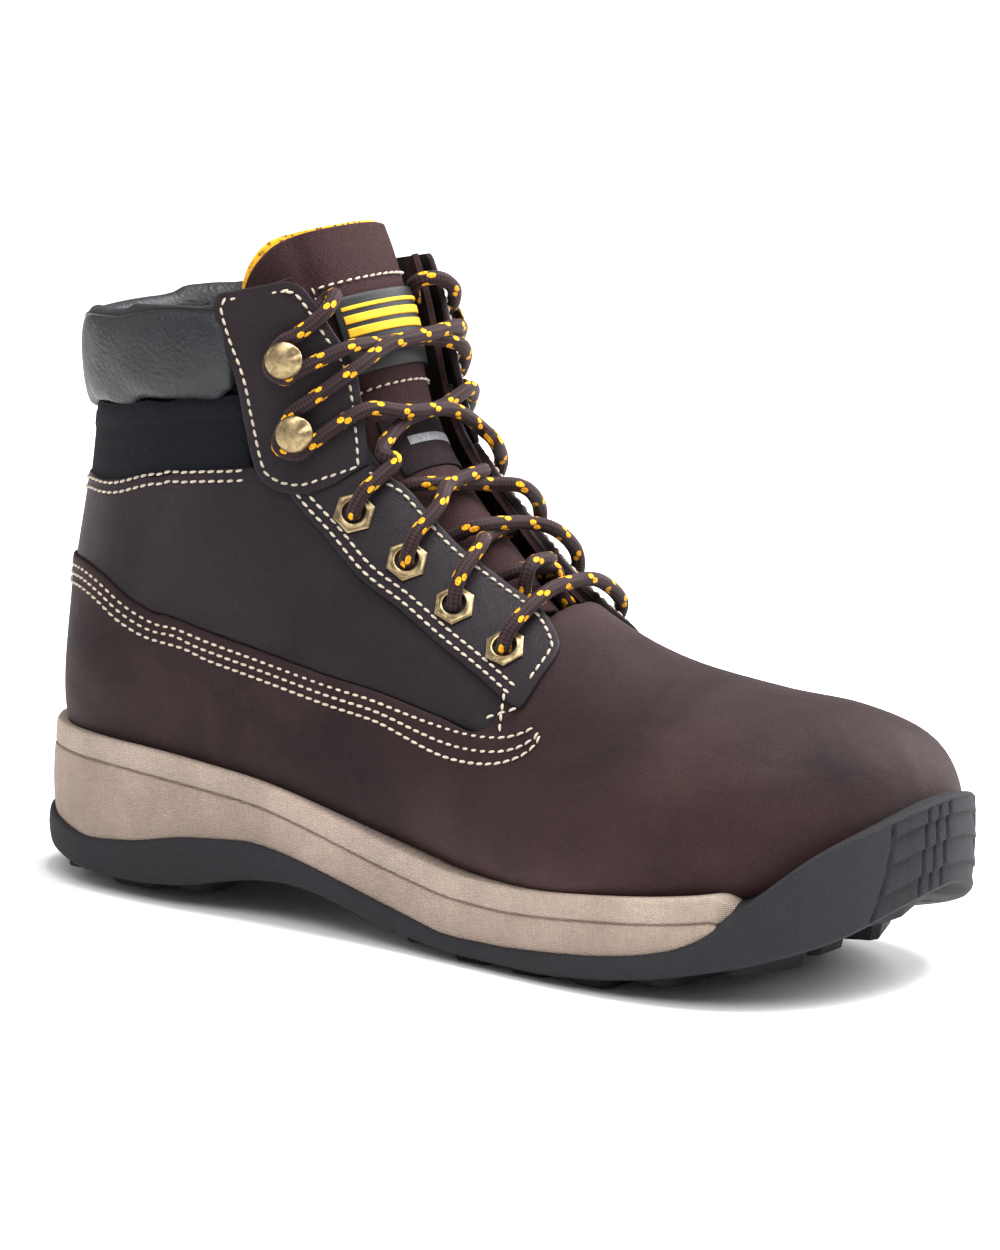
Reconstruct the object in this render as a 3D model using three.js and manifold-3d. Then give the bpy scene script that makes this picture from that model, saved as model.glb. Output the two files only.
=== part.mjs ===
// Steel toe work boot, right foot. Millimetres.
// +X runs from heel to toe, +Y to the inner (medial) side, +Z up. The treads stand on Z = 0.
// The upper is one smooth surface of ribs. A place on it is (rib, turn):
// rib counts up from the toe tip (0) to the top line (16), and turn runs round the rib,
// 0 at the top or front centre line, -1 or 1 at the bottom or back centre line,
// negative on the outer (lateral) side.
import * as THREE from "three";
import { mergeGeometries, mergeVertices } from "three/addons/utils/BufferGeometryUtils.js";
import Module from "manifold-3d";

const wasm = await Module();
wasm.setup();

// The shape is drawn from the heel; this offset puts the origin under the middle of the boot.
const CENTRE_X = 149.75;
const CENTRE_Y = -2.33;

// Ribs: top or front point x, z; bottom or back point x, z; outer and inner half width;
// middle y; where the widest place lies from top to bottom; how square the top and bottom halves are.
const RIBS = [
  [297.5, 47, 297.5, 45, 1, 1, 5, 0.55, 2.0, 2.0],
  [294, 61, 295, 34, 20, 16, 5, 0.62, 2.2, 2.6],
  [283, 72, 284, 29, 34, 30, 5, 0.66, 2.3, 3.2],
  [263, 78, 263, 25, 45, 41, 2, 0.7, 2.2, 3.4],
  [239, 80, 236, 21, 51, 46, 0, 0.73, 2.1, 3.4],
  [212, 85, 206, 19, 52, 46, -1, 0.75, 1.8, 3.4],
  [187, 94, 174, 20, 48, 43, 0, 0.74, 1.6, 3.4],
  [164, 104, 140, 24, 43, 41, 0, 0.7, 1.65, 3.2],
  [145, 116, 104, 27, 40, 39, 0, 0.66, 1.8, 3.2],
  [131, 129, 60, 29, 38.5, 38, 0, 0.6, 2.0, 3.2],
  [121, 142, 26, 31, 37.5, 37, 0, 0.58, 2.2, 3.0],
  [116, 155, 8, 43, 37, 36.5, 0, 0.55, 2.3, 2.6],
  [112, 167, 7, 80, 36.5, 36, 0, 0.53, 2.4, 2.2],
  [108, 177, 12, 114, 36, 36, 0, 0.51, 2.5, 2.1],
  [104, 186, 15, 140, 36, 36, 0, 0.5, 2.5, 2.1],
  [101, 193, 14, 164, 36, 36, 0, 0.5, 2.5, 2.1],
  [98, 200, 13, 176, 36, 36, 0, 0.5, 2.5, 2.1],
];

// Layers of the upper, as distances out from the rib surface.
const LEATHER = [-1.7, 0];
const OVERLAY = [0.6, 2.0];
const FACING_LINING = [-3.3, -2.0];
const TOE_CAP = [-5.2, -3.6];
const COUNTER = [-3.8, -2.4];
const LINING = [-6.3, -4.7];
const TOE_LINING_DROP = 1.9;
const INSOLE_BOARD = [-2.8, -0.6];
const FOOTBED = [-11.6, -7.7];
const UPPER_CLEARANCE = 1.15;

// Sole.
const SOLE_START = -1.5;
const SOLE_END = 301;
const SOLE_STATIONS = 24;
const MIDSOLE_INSET = 1.2;
const SOLE_GAP = 0.35;
// Between these the sole's stations stand square beside the upper; past them they fan round its ends.
const HEEL_FAN = 45;
const TOE_FAN = 250;
// Half widths of the sole: x, outer side y, inner side y.
const SOLE_PLAN = [
  [-1.5, 0, 0],
  [3, -15.5, 15.5],
  [12, -26.5, 26],
  [28, -35.5, 34.5],
  [60, -41, 40],
  [100, -42, 39.5],
  [140, -45, 42],
  [180, -51, 47],
  [210, -55.5, 51],
  [235, -56.5, 52],
  [260, -52.5, 50],
  [280, -41, 42],
  [291, -28, 32],
  [297.5, -13, 21],
  [301, 5, 5],
];
// Sole heights: x, bottom edge, top of the outsole wall, top of the midsole.
const SOLE_HEIGHTS = [
  [-1.5, 11, 20, 45.5],
  [11, 7, 18, 46],
  [30, 5, 15.2, 46],
  [50, 5, 17.5, 45.4],
  [67, 6.5, 21.3, 44.3],
  [92, 12, 23.6, 41.9],
  [104, 13, 22, 39.5],
  [116, 12, 19.3, 36.5],
  [140, 6, 13.2, 30.4],
  [165, 2.6, 7.8, 25.8],
  [187, 2.4, 8.1, 25.2],
  [204, 2.6, 9.5, 26.4],
  [220, 4, 11, 28],
  [235, 6, 13.2, 29.3],
  [246, 8, 16, 30.6],
  [252, 9.4, 20, 31.2],
  [258, 10.7, 26, 31.8],
  [264, 12, 31.5, 32],
  [275, 15, 38.3, 32],
  [285, 18.5, 46.3, 32],
  [292, 22, 50, 32],
  [301, 31, 57, 32],
];
// Floor of the outsole under the midsole: x, z.
const SOLE_FLOOR = [
  [-1.5, 13],
  [30, 10],
  [67, 14.5],
  [100, 18],
  [140, 11],
  [180, 6.6],
  [220, 8.5],
  [250, 12.5],
  [275, 18],
  [292, 25],
  [301, 32],
];
// Treads: x, y, length, width, turn in degrees.
const TREADS = [
  [20.6, -16.6, 17, 15, 35],
  [20.6, 14.6, 17, 15, -35],
  [45, -22, 18, 20, 0],
  [45, 19, 18, 20, 0],
  [66, -24, 13, 18, 0],
  [66, 21, 13, 18, 0],
  [152, -26, 14, 26, 0],
  [152, 23, 14, 26, 0],
  [173, -31, 14, 28, 0],
  [173, 28, 14, 28, 0],
  [194, -34, 14, 28, 0],
  [194, 32, 14, 26, 0],
  [173, -1, 14, 16, 0],
  [194, -1, 14, 18, 0],
  [216, -36, 14, 28, 0],
  [216, 33, 14, 26, 0],
  [216, -1, 14, 20, 0],
  [237, -34, 14, 28, -8],
  [237, 32, 14, 26, 8],
  [237, -1, 14, 20, 0],
  [258, -27, 13, 26, -22],
  [258, 28, 13, 24, 22],
  [258, 1, 13, 16, 0],
];

// Pattern lines on the outer side, as (rib, turn) pairs; the inner side mirrors them.
const VAMP_TOP = [
  [6.35, 0],
  [6.4, 0.06],
  [6.42, 0.13],
  [6.3, 0.3],
  [7.0, 0.355],
  [7.65, 0.38],
  [8.4, 0.41],
  [9.1, 0.45],
  [9.95, 0.477],
  [10.85, 0.509],
  [11.45, 0.581],
  [11.9, 0.68],
  [12.2, 0.84],
  [12.3, 1],
];
const VAMP_BOTTOM = [
  [0.1, 0],
  [0.1, 0.3],
  [0.25, 0.6],
  [2.5, 0.85],
  [4.8, 0.86],
  [6.6, 0.86],
  [7.8, 0.86],
  [8.8, 0.87],
  [9.6, 0.89],
  [10.1, 0.915],
  [10.45, 0.94],
  [10.6, 0.96],
  [10.7, 0.98],
  [10.75, 1],
];
const LINING_TOP = [
  [6.1, 0],
  [6.15, 0.06],
  [6.2, 0.15],
  [6.4, 0.285],
  [7.4, 0.3],
  [8.6, 0.305],
  [9.8, 0.31],
  [11, 0.32],
  [12.2, 0.34],
  [12.4, 0.375],
  [12.85, 0.46],
  [13.4, 0.6],
  [13.75, 0.8],
  [13.8, 1],
];
// Turn of the opening's edge against rib.
const FACING_EDGE = [
  [6.3, 0.115],
  [7.2, 0.1],
  [8.4, 0.107],
  [9.4, 0.125],
  [10.3, 0.13],
  [11.6, 0.12],
  [12.8, 0.15],
  [13.7, 0.18],
  [14.6, 0.21],
];
// Rib of the quarter's upper edge against turn, then the collar's lower and upper edges.
const QUARTER_TOP = [
  [0.1, 10.95],
  [0.3, 11.1],
  [0.42, 11.8],
  [0.52, 12.38],
  [0.75, 12.9],
  [1, 13.2],
];
const COLLAR_BOTTOM = [
  [0.36, 12.3],
  [0.45, 12.76],
  [0.55, 13.23],
  [0.74, 13.71],
  [1, 13.83],
];
const COLLAR_TOP = [
  [0.36, 14.5],
  [0.5, 14.95],
  [0.7, 15.3],
  [1, 15.4],
];

const EYELET_PLACES = [
  [9.28, 0.215],
  [8.25, 0.2],
  [7.4, 0.2],
  [6.58, 0.205],
];
const HOOK_PLACES = [
  [12.58, 0.26],
  [11.18, 0.25],
];
const EYELET = { flats: 10.8, barrel: 3.7, bore: 3.3, plate: 0.8, hole: 4.2 };
const HOOK = { base: 4.4, neck: 1.9, rise: 6.0, head: 5.3, crown: 2.3 };
const LACE_RADIUS = 1.95;
const LACE_SIDES = 5;

// ---------- numbers ----------

const clamp = (a, low, high) => Math.max(low, Math.min(high, a));
const mix = (a, b, t) => a + (b - a) * t;

function smooth(a) {
  const t = clamp(a, 0, 1);
  return t * t * (3 - 2 * t);
}

// Catmull-Rom value of a table's rows at a fractional row number.
function rowAt(rows, at) {
  const last = rows.length - 1;
  const i = clamp(Math.floor(at), 0, last - 1);
  const t = at - i;
  const [a, b, c, d] = [i - 1, i, i + 1, i + 2].map((k) => rows[clamp(k, 0, last)]);
  return b.map((_, k) => {
    const cubic = (3 * (b[k] - c[k]) + d[k] - a[k]) * t * t * t;
    const square = (2 * a[k] - 5 * b[k] + 4 * c[k] - d[k]) * t * t;
    return 0.5 * (2 * b[k] + (c[k] - a[k]) * t + square + cubic);
  });
}

// Straight-line value of a table's rows at a fractional row number.
function between(rows, at) {
  const i = clamp(Math.floor(at), 0, rows.length - 2);
  return rows[i].map((a, k) => mix(a, rows[i + 1][k], at - i));
}

// Value of column k of a table at first-column value x, in straight steps.
function tableAt(rows, x, k = 1) {
  let i = 0;
  while (i < rows.length - 2 && x > rows[i + 1][0]) i += 1;
  const t = clamp((x - rows[i][0]) / (rows[i + 1][0] - rows[i][0]), 0, 1);
  return mix(rows[i][k], rows[i + 1][k], t);
}

// ---------- the upper's surface ----------

const SPLAY = { x: 4, y: 11 };

// Share of SPLAY at a place: the laces are slack, so the inner side of the opening stands away.
function slack(rib, turn) {
  const t = turn > 1 ? turn - 2 : turn;
  return smooth((rib - 5.4) / 3) * smooth((t + 0.1) / 0.22) * (1 - smooth((t - 0.22) / 0.4));
}

function surface(rib, turn) {
  const [xt, zt, xb, zb, outer, inner, mid, widest, top, bottom] = rowAt(RIBS, rib);
  const c = Math.cos(turn * Math.PI);
  const s = Math.sin(turn * Math.PI);
  const power = 2 / (c > 0 ? top : bottom);
  const cc = Math.abs(c) ** power;
  const ss = Math.abs(s) ** power;
  const f = c > 0 ? widest * (1 - cc) : widest + (1 - widest) * cc;
  const half = s < 0 ? -outer : inner;
  const away = slack(rib, turn);
  return new THREE.Vector3(mix(xt, xb, f) + SPLAY.x * away, mid + half * ss + SPLAY.y * away, mix(zt, zb, f));
}

function normal(rib, turn) {
  const low = Math.max(rib - 0.05, 0.02);
  const along = surface(rib + 0.05, turn).sub(surface(low, turn));
  const around = surface(rib, turn + 0.012).sub(surface(rib, turn - 0.012));
  return around.cross(along).normalize();
}

const place = (rib, turn, out) => surface(rib, turn).addScaledVector(normal(rib, turn), out);

// ---------- meshes ----------

// Quads between rows of points; rows and columns may close on themselves.
function skin(rows, closeRows = false, closeColumns = false) {
  const width = rows[0].length;
  const index = [];
  const rowCount = closeRows ? rows.length : rows.length - 1;
  const columnCount = closeColumns ? width : width - 1;
  for (let i = 0; i < rowCount; i += 1) {
    for (let j = 0; j < columnCount; j += 1) {
      const a = i * width + j;
      const b = i * width + ((j + 1) % width);
      const c = ((i + 1) % rows.length) * width + ((j + 1) % width);
      const d = ((i + 1) % rows.length) * width + j;
      index.push(a, b, c, a, c, d);
    }
  }
  return { points: rows.flat(), index };
}

function geometryOf({ points, index }) {
  const flat = new Float32Array(points.length * 3);
  points.forEach((p, i) => flat.set([p.x, p.y, p.z], i * 3));
  const geometry = new THREE.BufferGeometry();
  geometry.setAttribute("position", new THREE.BufferAttribute(flat, 3));
  geometry.setIndex(index);
  return geometry;
}

// One closed geometry, turned to face out if it faces in.
function closed(...skins) {
  const joined = mergeVertices(mergeGeometries(skins.map(geometryOf)), 1e-3);
  const { array } = joined.getAttribute("position");
  const kept = [];
  let volume = 0;
  const at = (i) => new THREE.Vector3().fromArray(array, i * 3);
  for (let i = 0; i < joined.index.count; i += 3) {
    const [a, b, c] = [0, 1, 2].map((k) => joined.index.array[i + k]);
    if (a !== b && b !== c && a !== c) {
      kept.push(a, b, c);
      volume += at(a).dot(at(b).cross(at(c)));
    }
  }
  if (volume < 0) kept.reverse();
  joined.setIndex(kept);
  return joined;
}

function solidOf(geometry) {
  const merged = mergeVertices(geometry, 1e-3);
  return new wasm.Manifold(
    new wasm.Mesh({
      numProp: 3,
      vertProperties: merged.getAttribute("position").array,
      triVerts: new Uint32Array(merged.index.array),
    }),
  );
}

function geometryFrom(solid) {
  const mesh = solid.getMesh();
  const geometry = new THREE.BufferGeometry();
  geometry.setAttribute("position", new THREE.BufferAttribute(mesh.vertProperties, 3));
  geometry.setIndex(new THREE.BufferAttribute(mesh.triVerts, 1));
  return geometry;
}

const bareSolid = (geometry) => {
  const bare = new THREE.BufferGeometry();
  bare.setAttribute("position", geometry.getAttribute("position"));
  if (geometry.index) bare.setIndex(geometry.index);
  return solidOf(bare);
};

// A sheet of the upper. where(s, t) gives (rib, turn); layer(rib, turn) gives inner and outer distance.
function sheet(where, columns, rowCount, layer, ring = false) {
  const sides = [0, 1].map((face) => {
    const rows = [];
    for (let j = 0; j <= rowCount; j += 1) {
      const row = [];
      for (let i = 0; i < columns + (ring ? 0 : 1); i += 1) {
        const [rib, turn] = where(i / columns, j / rowCount);
        row.push(place(rib, turn, layer(rib, turn)[face]));
      }
      rows.push(row);
    }
    return rows;
  });
  const [inner, outer] = sides;
  const turned = inner.map((row) => [...row]).reverse();
  if (ring) return closed(skin([...outer, ...turned], true, true));
  const wrap = [...outer, ...turned];
  const walls = skin(wrap, true, false);
  const cap = (k) => skin([outer.map((row) => row[k]), inner.map((row) => row[k])]);
  const first = cap(0);
  const last = cap(columns);
  last.index.reverse();
  return closed(walls, first, last);
}

const flatLayer = (pair) => () => pair;
const mirrored = (where) => (s, t) => {
  const [rib, turn] = where(s, t);
  return [rib, -turn];
};

// Around the whole boot: s = 0 at the front centre line, 0.5 at the back.
function loop(top, bottom) {
  return (s, t) => {
    const half = s <= 0.5 ? s * 2 : (1 - s) * 2;
    const side = s <= 0.5 ? -1 : 1;
    const a = between(top, half * (top.length - 1));
    const b = between(bottom, half * (bottom.length - 1));
    return [mix(a[0], b[0], t), side * mix(a[1], b[1], t)];
  };
}

// ---------- pieces of the upper ----------

const vampSheet = () => sheet(loop(VAMP_TOP, VAMP_BOTTOM), 44, 9, flatLayer(LEATHER), true);

const liningLayer = (rib) => {
  const drop = TOE_LINING_DROP * (1 - smooth((rib - 3.4) / 1.2));
  return [LINING[0] - drop, LINING[1] - drop];
};

const liningSheet = () => sheet(loop(LINING_TOP, VAMP_BOTTOM), 38, 8, liningLayer, true);

function quarterPlace(s, t) {
  const turn0 = mix(0.12, 0.945, s);
  const low = vampRibAt(turn0) + 0.14;
  const rib = mix(low, tableAt(QUARTER_TOP, turn0) - 0.03, t);
  return [rib, -mix(tableAt(FACING_EDGE, rib), 0.945, s)];
}

// Rib of the vamp's upper edge at a turn.
function vampRibAt(turn) {
  const edge = VAMP_TOP.slice(3).map(([rib, at]) => [at, rib]);
  return turn < edge[0][0] ? 6.45 : tableAt(edge, turn);
}

const staySheetPlace = (s, t) => {
  const back = mix(0.292, 0.268, smooth(t * 3));
  const top = mix(9.5, 10.2, s ** 1.6);
  const rib = mix(6.03, top, t);
  const front = tableAt(FACING_EDGE, rib) + 0.03 * (1 - smooth(t * 6));
  return [rib, -mix(front, back, s)];
};

const flapPlace = (s, t) => {
  const low = mix(9.75, 10.95, s ** 1.4) + 0.35 * (1 - smooth(s * 5)) + 0.1;
  const high = 14.55 - 0.45 * (1 - smooth(s * 2.5));
  const rib = mix(low, high, t);
  const front = tableAt(FACING_EDGE, rib) - 0.012;
  const back = mix(0.335, 0.368, smooth((rib - 11) / 3.5));
  return [rib, -mix(front, back, s)];
};

const flapLayer = (rib) => [mix(OVERLAY[0], LEATHER[0], smooth((rib - 11.33) / 0.22)), OVERLAY[1]];

const facingLiningPlace = (s, t) => {
  const rib = mix(6.7, 14.35, t);
  return [rib, -mix(tableAt(FACING_EDGE, rib) + 0.006, 0.285, s)];
};

const backPlace = (turnFrom, ribLow, ribHigh) => (s, t) => {
  return [mix(ribLow, ribHigh, t), mix(turnFrom, 2 - turnFrom, s)];
};

function toeCapPlace(s, t) {
  const turn = mix(-0.74, 0.74, s);
  const start = 0.8 + 1.3 * smooth((Math.abs(turn) - 0.4) / 0.25);
  return [mix(start, 3.3, t), turn];
}

function counterPlace(s, t) {
  const turn = mix(0.62, 1.38, s);
  const away = Math.abs(turn - 1) / 0.38;
  return [mix(11.0 - 0.1 * away, 12.5 - 0.7 * away, t), turn];
}

// Turn 0..2 measured round the back, with the same table for both sides.
const roundBack = (rows, turn) => tableAt(rows, turn > 1 ? 2 - turn : turn);

function bandPlace(s, t) {
  const turn = mix(0.375, 1.625, s);
  const low = roundBack(QUARTER_TOP, turn) + 0.03;
  return [mix(low, roundBack(COLLAR_BOTTOM, turn) - 0.03, t), turn];
}

// The collar is a padded roll: its section swells out and in, thickest in the middle.
function collarPad() {
  const columns = 24;
  const around = 10;
  const rows = [];
  for (let i = 0; i <= columns; i += 1) {
    const turn = mix(0.385, 1.615, i / columns);
    const low = roundBack(COLLAR_BOTTOM, turn) + 0.03;
    const high = roundBack(COLLAR_TOP, turn);
    const row = [];
    for (let j = 0; j < around; j += 1) {
      const angle = (j / around) * 2 * Math.PI;
      const up = Math.sign(Math.sin(angle)) * Math.abs(Math.sin(angle)) ** 0.65;
      const out = Math.cos(angle) > 0 ? 4.6 : 6;
      row.push(place(mix(low, high, 0.5 + 0.5 * up), turn, -1 + out * Math.cos(angle)));
    }
    rows.push(row);
  }
  const fan = (row) => {
    const points = [...row, row.reduce((a, p) => a.add(p), new THREE.Vector3()).divideScalar(around)];
    const index = row.flatMap((_, j) => [j, (j + 1) % around, around]);
    return { points, index };
  };
  const start = fan(rows[0]);
  const end = fan(rows[columns]);
  start.index.reverse();
  return closed(skin(rows, false, true), start, end);
}

// ---------- tongue ----------

const TONGUE_LAYER = (rib, turn) => {
  const middle = 1 - smooth(Math.abs(turn) / 0.16);
  const base = -9.1 + 4.8 * middle * smooth((rib - 6.5) / 1.2);
  return [base - 2, base];
};
const TONGUE_LINING_LAYER = (rib, turn) => {
  const base = TONGUE_LAYER(rib, turn)[0] - 0.9;
  return [base - 2.2, base];
};
const tonguePlace = (lift) => (s, t) => {
  const across = 2 * s - 1;
  const crown = 1.5 * Math.sqrt(Math.max(0, 1 - (0.96 * across) ** 2));
  const rib = mix(6.75, 14.35 + crown + lift, t);
  const reach = mix(0.16, 0.36, smooth((rib - 6.7) / 5));
  return [rib, reach * across];
};
const labelPlace = (rib0, rib1, turn0, turn1) => (s, t) => [mix(rib0, rib1, t), mix(turn0, turn1, s)];
const labelLayer = (thick) => (rib, turn) => {
  const top = TONGUE_LAYER(rib, turn)[1];
  return [top + 0.6, top + 0.6 + thick];
};

// ---------- sole ----------

const soleAngle = (x) => Math.acos(clamp(1 - (2 * (x - SOLE_START)) / (SOLE_END - SOLE_START), -1, 1));

// Half width of the sole at a station angle, k = 1 outer, 2 inner.
function soleSide(angle, k) {
  const rows = SOLE_PLAN.map((row) => [soleAngle(row[0]), row[k]]);
  let i = 0;
  while (i < rows.length - 2 && angle > rows[i + 1][0]) i += 1;
  const t = (angle - rows[i][0]) / (rows[i + 1][0] - rows[i][0]);
  return rowAt(rows, i + clamp(t, 0, 1))[1];
}

// The outline as stations: heel back, along the outer side to the toe, back along the inner side.
function soleStations() {
  const stations = [];
  for (let i = 0; i < 2 * SOLE_STATIONS; i += 1) {
    const angle = (Math.PI * i) / SOLE_STATIONS;
    const k = i <= SOLE_STATIONS ? 1 : 2;
    const half = i <= SOLE_STATIONS ? angle : 2 * Math.PI - angle;
    const x = mix(SOLE_START, SOLE_END, (1 - Math.cos(half)) / 2);
    stations.push({ x, y: soleSide(half, k) });
  }
  stations.forEach((p, i) => {
    const before = stations.at(i - 1);
    const after = stations[(i + 1) % stations.length];
    const dx = after.x - before.x;
    const dy = after.y - before.y;
    const long = Math.hypot(dx, dy);
    p.nx = dy / long;
    p.ny = -dx / long;
  });
  return stations;
}

const STATIONS = soleStations();

// The ring of the outline moved out by out(x) at height z(x).
function ring(out, z) {
  return STATIONS.map((p) => {
    const d = out(p.x);
    return new THREE.Vector3(p.x + p.nx * d, p.y + p.ny * d, z(p.x));
  });
}

// A ring folded on to the sole's middle line, which closes a stack of rings.
function spine(z) {
  return STATIONS.map((p) => {
    const x = clamp(p.x, SOLE_START + 14, SOLE_END - 14);
    const angle = soleAngle(x);
    return new THREE.Vector3(x, (soleSide(angle, 1) + soleSide(angle, 2)) / 2, z(x));
  });
}

const edgeZ = (x) => tableAt(SOLE_HEIGHTS, x, 1);
const wallZ = (x) => tableAt(SOLE_HEIGHTS, x, 2);
const topZ = (x) => tableAt(SOLE_HEIGHTS, x, 3);
const floorZ = (x) => tableAt(SOLE_FLOOR, x);
const inToe = (x) => smooth((x - 243) / 12);

// Root of a falling function of t between low and high.
function fallsTo(f, target, low, high) {
  let [a, b] = [low, high];
  for (let k = 0; k < 22; k += 1) {
    const t = (a + b) / 2;
    if (f(t) > target) a = t;
    else b = t;
  }
  return (a + b) / 2;
}

// Where the upper crosses height z at its heel end or its toe end.
function endX(z, toe) {
  if (!toe) return surface(fallsTo((rib) => -surface(rib, 1).z, -z, 10, 12), 1).x;
  if (z < 46) return surface(fallsTo((rib) => surface(rib, 1).z, z, 0.05, 4), 1).x;
  return surface(fallsTo((rib) => -surface(rib, 0).z, -z, 0.05, 3), 0).x;
}

// The x of the upper's outline beside a sole station's x, at height z.
function besideX(x, z) {
  if (x < HEEL_FAN) return mix(HEEL_FAN, endX(z, false), (HEEL_FAN - x) / (HEEL_FAN - SOLE_START));
  if (x > TOE_FAN) return mix(TOE_FAN, endX(z, true), (x - TOE_FAN) / (SOLE_END - TOE_FAN));
  return x;
}

// (rib, turn) of the upper's outline at height z, at station i.
function rimAt(i, z) {
  const x = besideX(STATIONS[i].x, z);
  const side = i <= SOLE_STATIONS ? -1 : 1;
  const most = STATIONS[i].x > TOE_FAN ? 0.86 : 1;
  const ribAt = (turn) => fallsTo((rib) => surface(rib, side * turn).x, x, 0.05, 11.6);
  const turn = fallsTo((t) => surface(ribAt(t), side * t).z, z, 0.02, most);
  return [ribAt(turn), side * turn];
}

// A ring on the upper's outline at height z(x), out from it by the sole's clearance.
function rim(z) {
  return STATIONS.map((p, i) => place(...rimAt(i, z(p.x)), clearance(i)));
}

// The same points kept at least gap(x) inside the sole's outline.
function inside(points, gap) {
  return points.map((p, i) => {
    const { x, y, nx, ny } = STATIONS[i];
    const back = Math.min(0, -gap(x) - (p.x - x) * nx - (p.y - y) * ny);
    return new THREE.Vector3(p.x + back * nx, p.y + back * ny, p.z);
  });
}

function clearance(i) {
  const { x } = STATIONS[i];
  return mix(1.6, UPPER_CLEARANCE, smooth((x - 20) / 30)) + 1.1 * smooth((x - 234) / 12) + 2.1 * smooth((x - 272) / 15);
}

// The inside of the midsole, from its rim down to the middle line under the foot.
function bedRings(z, steps) {
  return Array.from({ length: steps }, (_, k) => {
    const q = (k + 1) / steps;
    return STATIONS.map((p, i) => {
      const [rib, turn] = rimAt(i, z(p.x));
      const side = i <= SOLE_STATIONS ? -1 : 1;
      const middle = clamp(ribUnder(clamp(p.x, 24, 280)), 1.6, 10);
      const across = mix(turn, side, q);
      return place(mix(rib, middle, q), q === 1 ? 1 : across, clearance(i));
    });
  });
}

// The rib whose bottom point stands at x.
const ribUnder = (x) => fallsTo((rib) => surface(rib, 1).x, x, 0.05, 10.9);

const blendRings = (a, b, share) => a.map((p, i) => p.clone().lerp(b[i], share(STATIONS[i].x)));

function treadBlocks() {
  return TREADS.map(([x, y, length, width, turn]) => {
    const low = Math.max(edgeZ(x) - 3.2, 0);
    const high = edgeZ(x) + 2;
    const block = new THREE.BoxGeometry(length, width, high - low);
    block.rotateZ((turn * Math.PI) / 180);
    block.translate(x, y, (low + high) / 2);
    return bareSolid(block);
  });
}

// Outer wall and floor as rings; at the toe the wall rises into a bumper against the upper.
function outsoleSolid() {
  const narrow = (wide, slim) => (x) => mix(wide, slim, smooth((x - 220) / 22));
  const lip = ring(narrow(-5.5, -1.6), (x) => wallZ(x) - 0.2);
  const foot = ring(narrow(-6.2, -2.2), (x) => mix(wallZ(x), floorZ(x), 0.5));
  const under = (x) => 27 + 0.19 * Math.max(x - 257, 0) + 3.7 * smooth((x - 280) / 21);
  const stack = [
    spine((x) => edgeZ(x) + 1),
    ring(() => -9, (x) => edgeZ(x - 9 * smooth((x - 262) / 39)) + 0.4),
    ring(() => -2.2, edgeZ),
    ring(() => 0.3, (x) => edgeZ(x) + 2.4),
    ring(() => 0.6, (x) => mix(edgeZ(x), wallZ(x), 0.6)),
    ring(() => 0, (x) => wallZ(x) - 0.8),
    ring(() => -0.9, wallZ),
    blendRings(lip, inside(rim((x) => Math.max(wallZ(x) - 0.4, under(x) + 3)), () => 1.2), inToe),
    blendRings(foot, inside(rim((x) => Math.max(mix(wallZ(x), under(x), 0.5), under(x) + 1.2)), () => 1.3), inToe),
    blendRings(foot, inside(rim(under), () => 1.5), inToe),
    blendRings(foot, ring(() => -5.6, (x) => floorZ(x) + 5.6), inToe),
    ring((x) => mix(narrow(-6.6, -2.8)(x), -6, inToe(x)), floorZ),
    spine(floorZ),
  ];
  let solid = bareSolid(closed(skin(stack, false, true)));
  for (const tread of treadBlocks()) solid = solid.add(tread);
  return solid;
}

// The midsole ends a little behind the bumper, sinking into the outsole.
function midsoleSolid() {
  const ends = (x) => smooth((x - 239) / 12);
  const hidden = (x) => mix(-13.5, -8.4, smooth((x - 257) / 22));
  const buried = (x) => mix(0, 9.2, ends(x));
  const side = (out) => (x) => mix(-MIDSOLE_INSET + out, hidden(x), ends(x));
  const top = (x) => mix(topZ(x), floorZ(x) + 6, ends(x));
  const low = (x) => mix(wallZ(x) + SOLE_GAP, floorZ(x) + 2, ends(x));
  const at = (share) => (x) => mix(low(x), top(x), share);
  const groove = (drop) => (x) => mix(top(x) - drop, at(0.7)(x), ends(x));
  const stack = [
    spine((x) => floorZ(x) + 0.6),
    ring((x) => mix(-7.8, hidden(x), ends(x)), (x) => floorZ(x) + 0.6),
    ring((x) => mix(-6.9, hidden(x), ends(x)), (x) => mix(wallZ(x) + SOLE_GAP, floorZ(x) + 1.2, ends(x))),
    ring(side(0), low),
    ring(side(0.5), at(0.4)),
    ring(side(0), groove(7.6)),
    ring(side(-0.8), groove(7.2)),
    ring(side(-0.3), groove(6.6)),
    ring(side(-1), at(0.96)),
    ring((x) => mix(-MIDSOLE_INSET - 2, hidden(x) - 0.6, ends(x)), top),
    inside(rim((x) => top(x) - 0.4), buried),
    ...bedRings((x) => top(x) - 0.4, 3).map((points) => inside(points, buried)),
  ];
  return bareSolid(closed(skin(stack, false, true)));
}

// ---------- fittings ----------

// A frame that stands on the upper at (rib, turn): local Z points out, local X towards the opening.
function standing(rib, turn, out) {
  const z = normal(rib, turn);
  const toOpening = surface(rib, turn * 0.9).sub(surface(rib, turn));
  const x = toOpening.addScaledVector(z, -toOpening.dot(z)).normalize();
  const y = new THREE.Vector3().crossVectors(z, x);
  return new THREE.Matrix4().makeBasis(x, y, z).setPosition(place(rib, turn, out));
}

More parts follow.
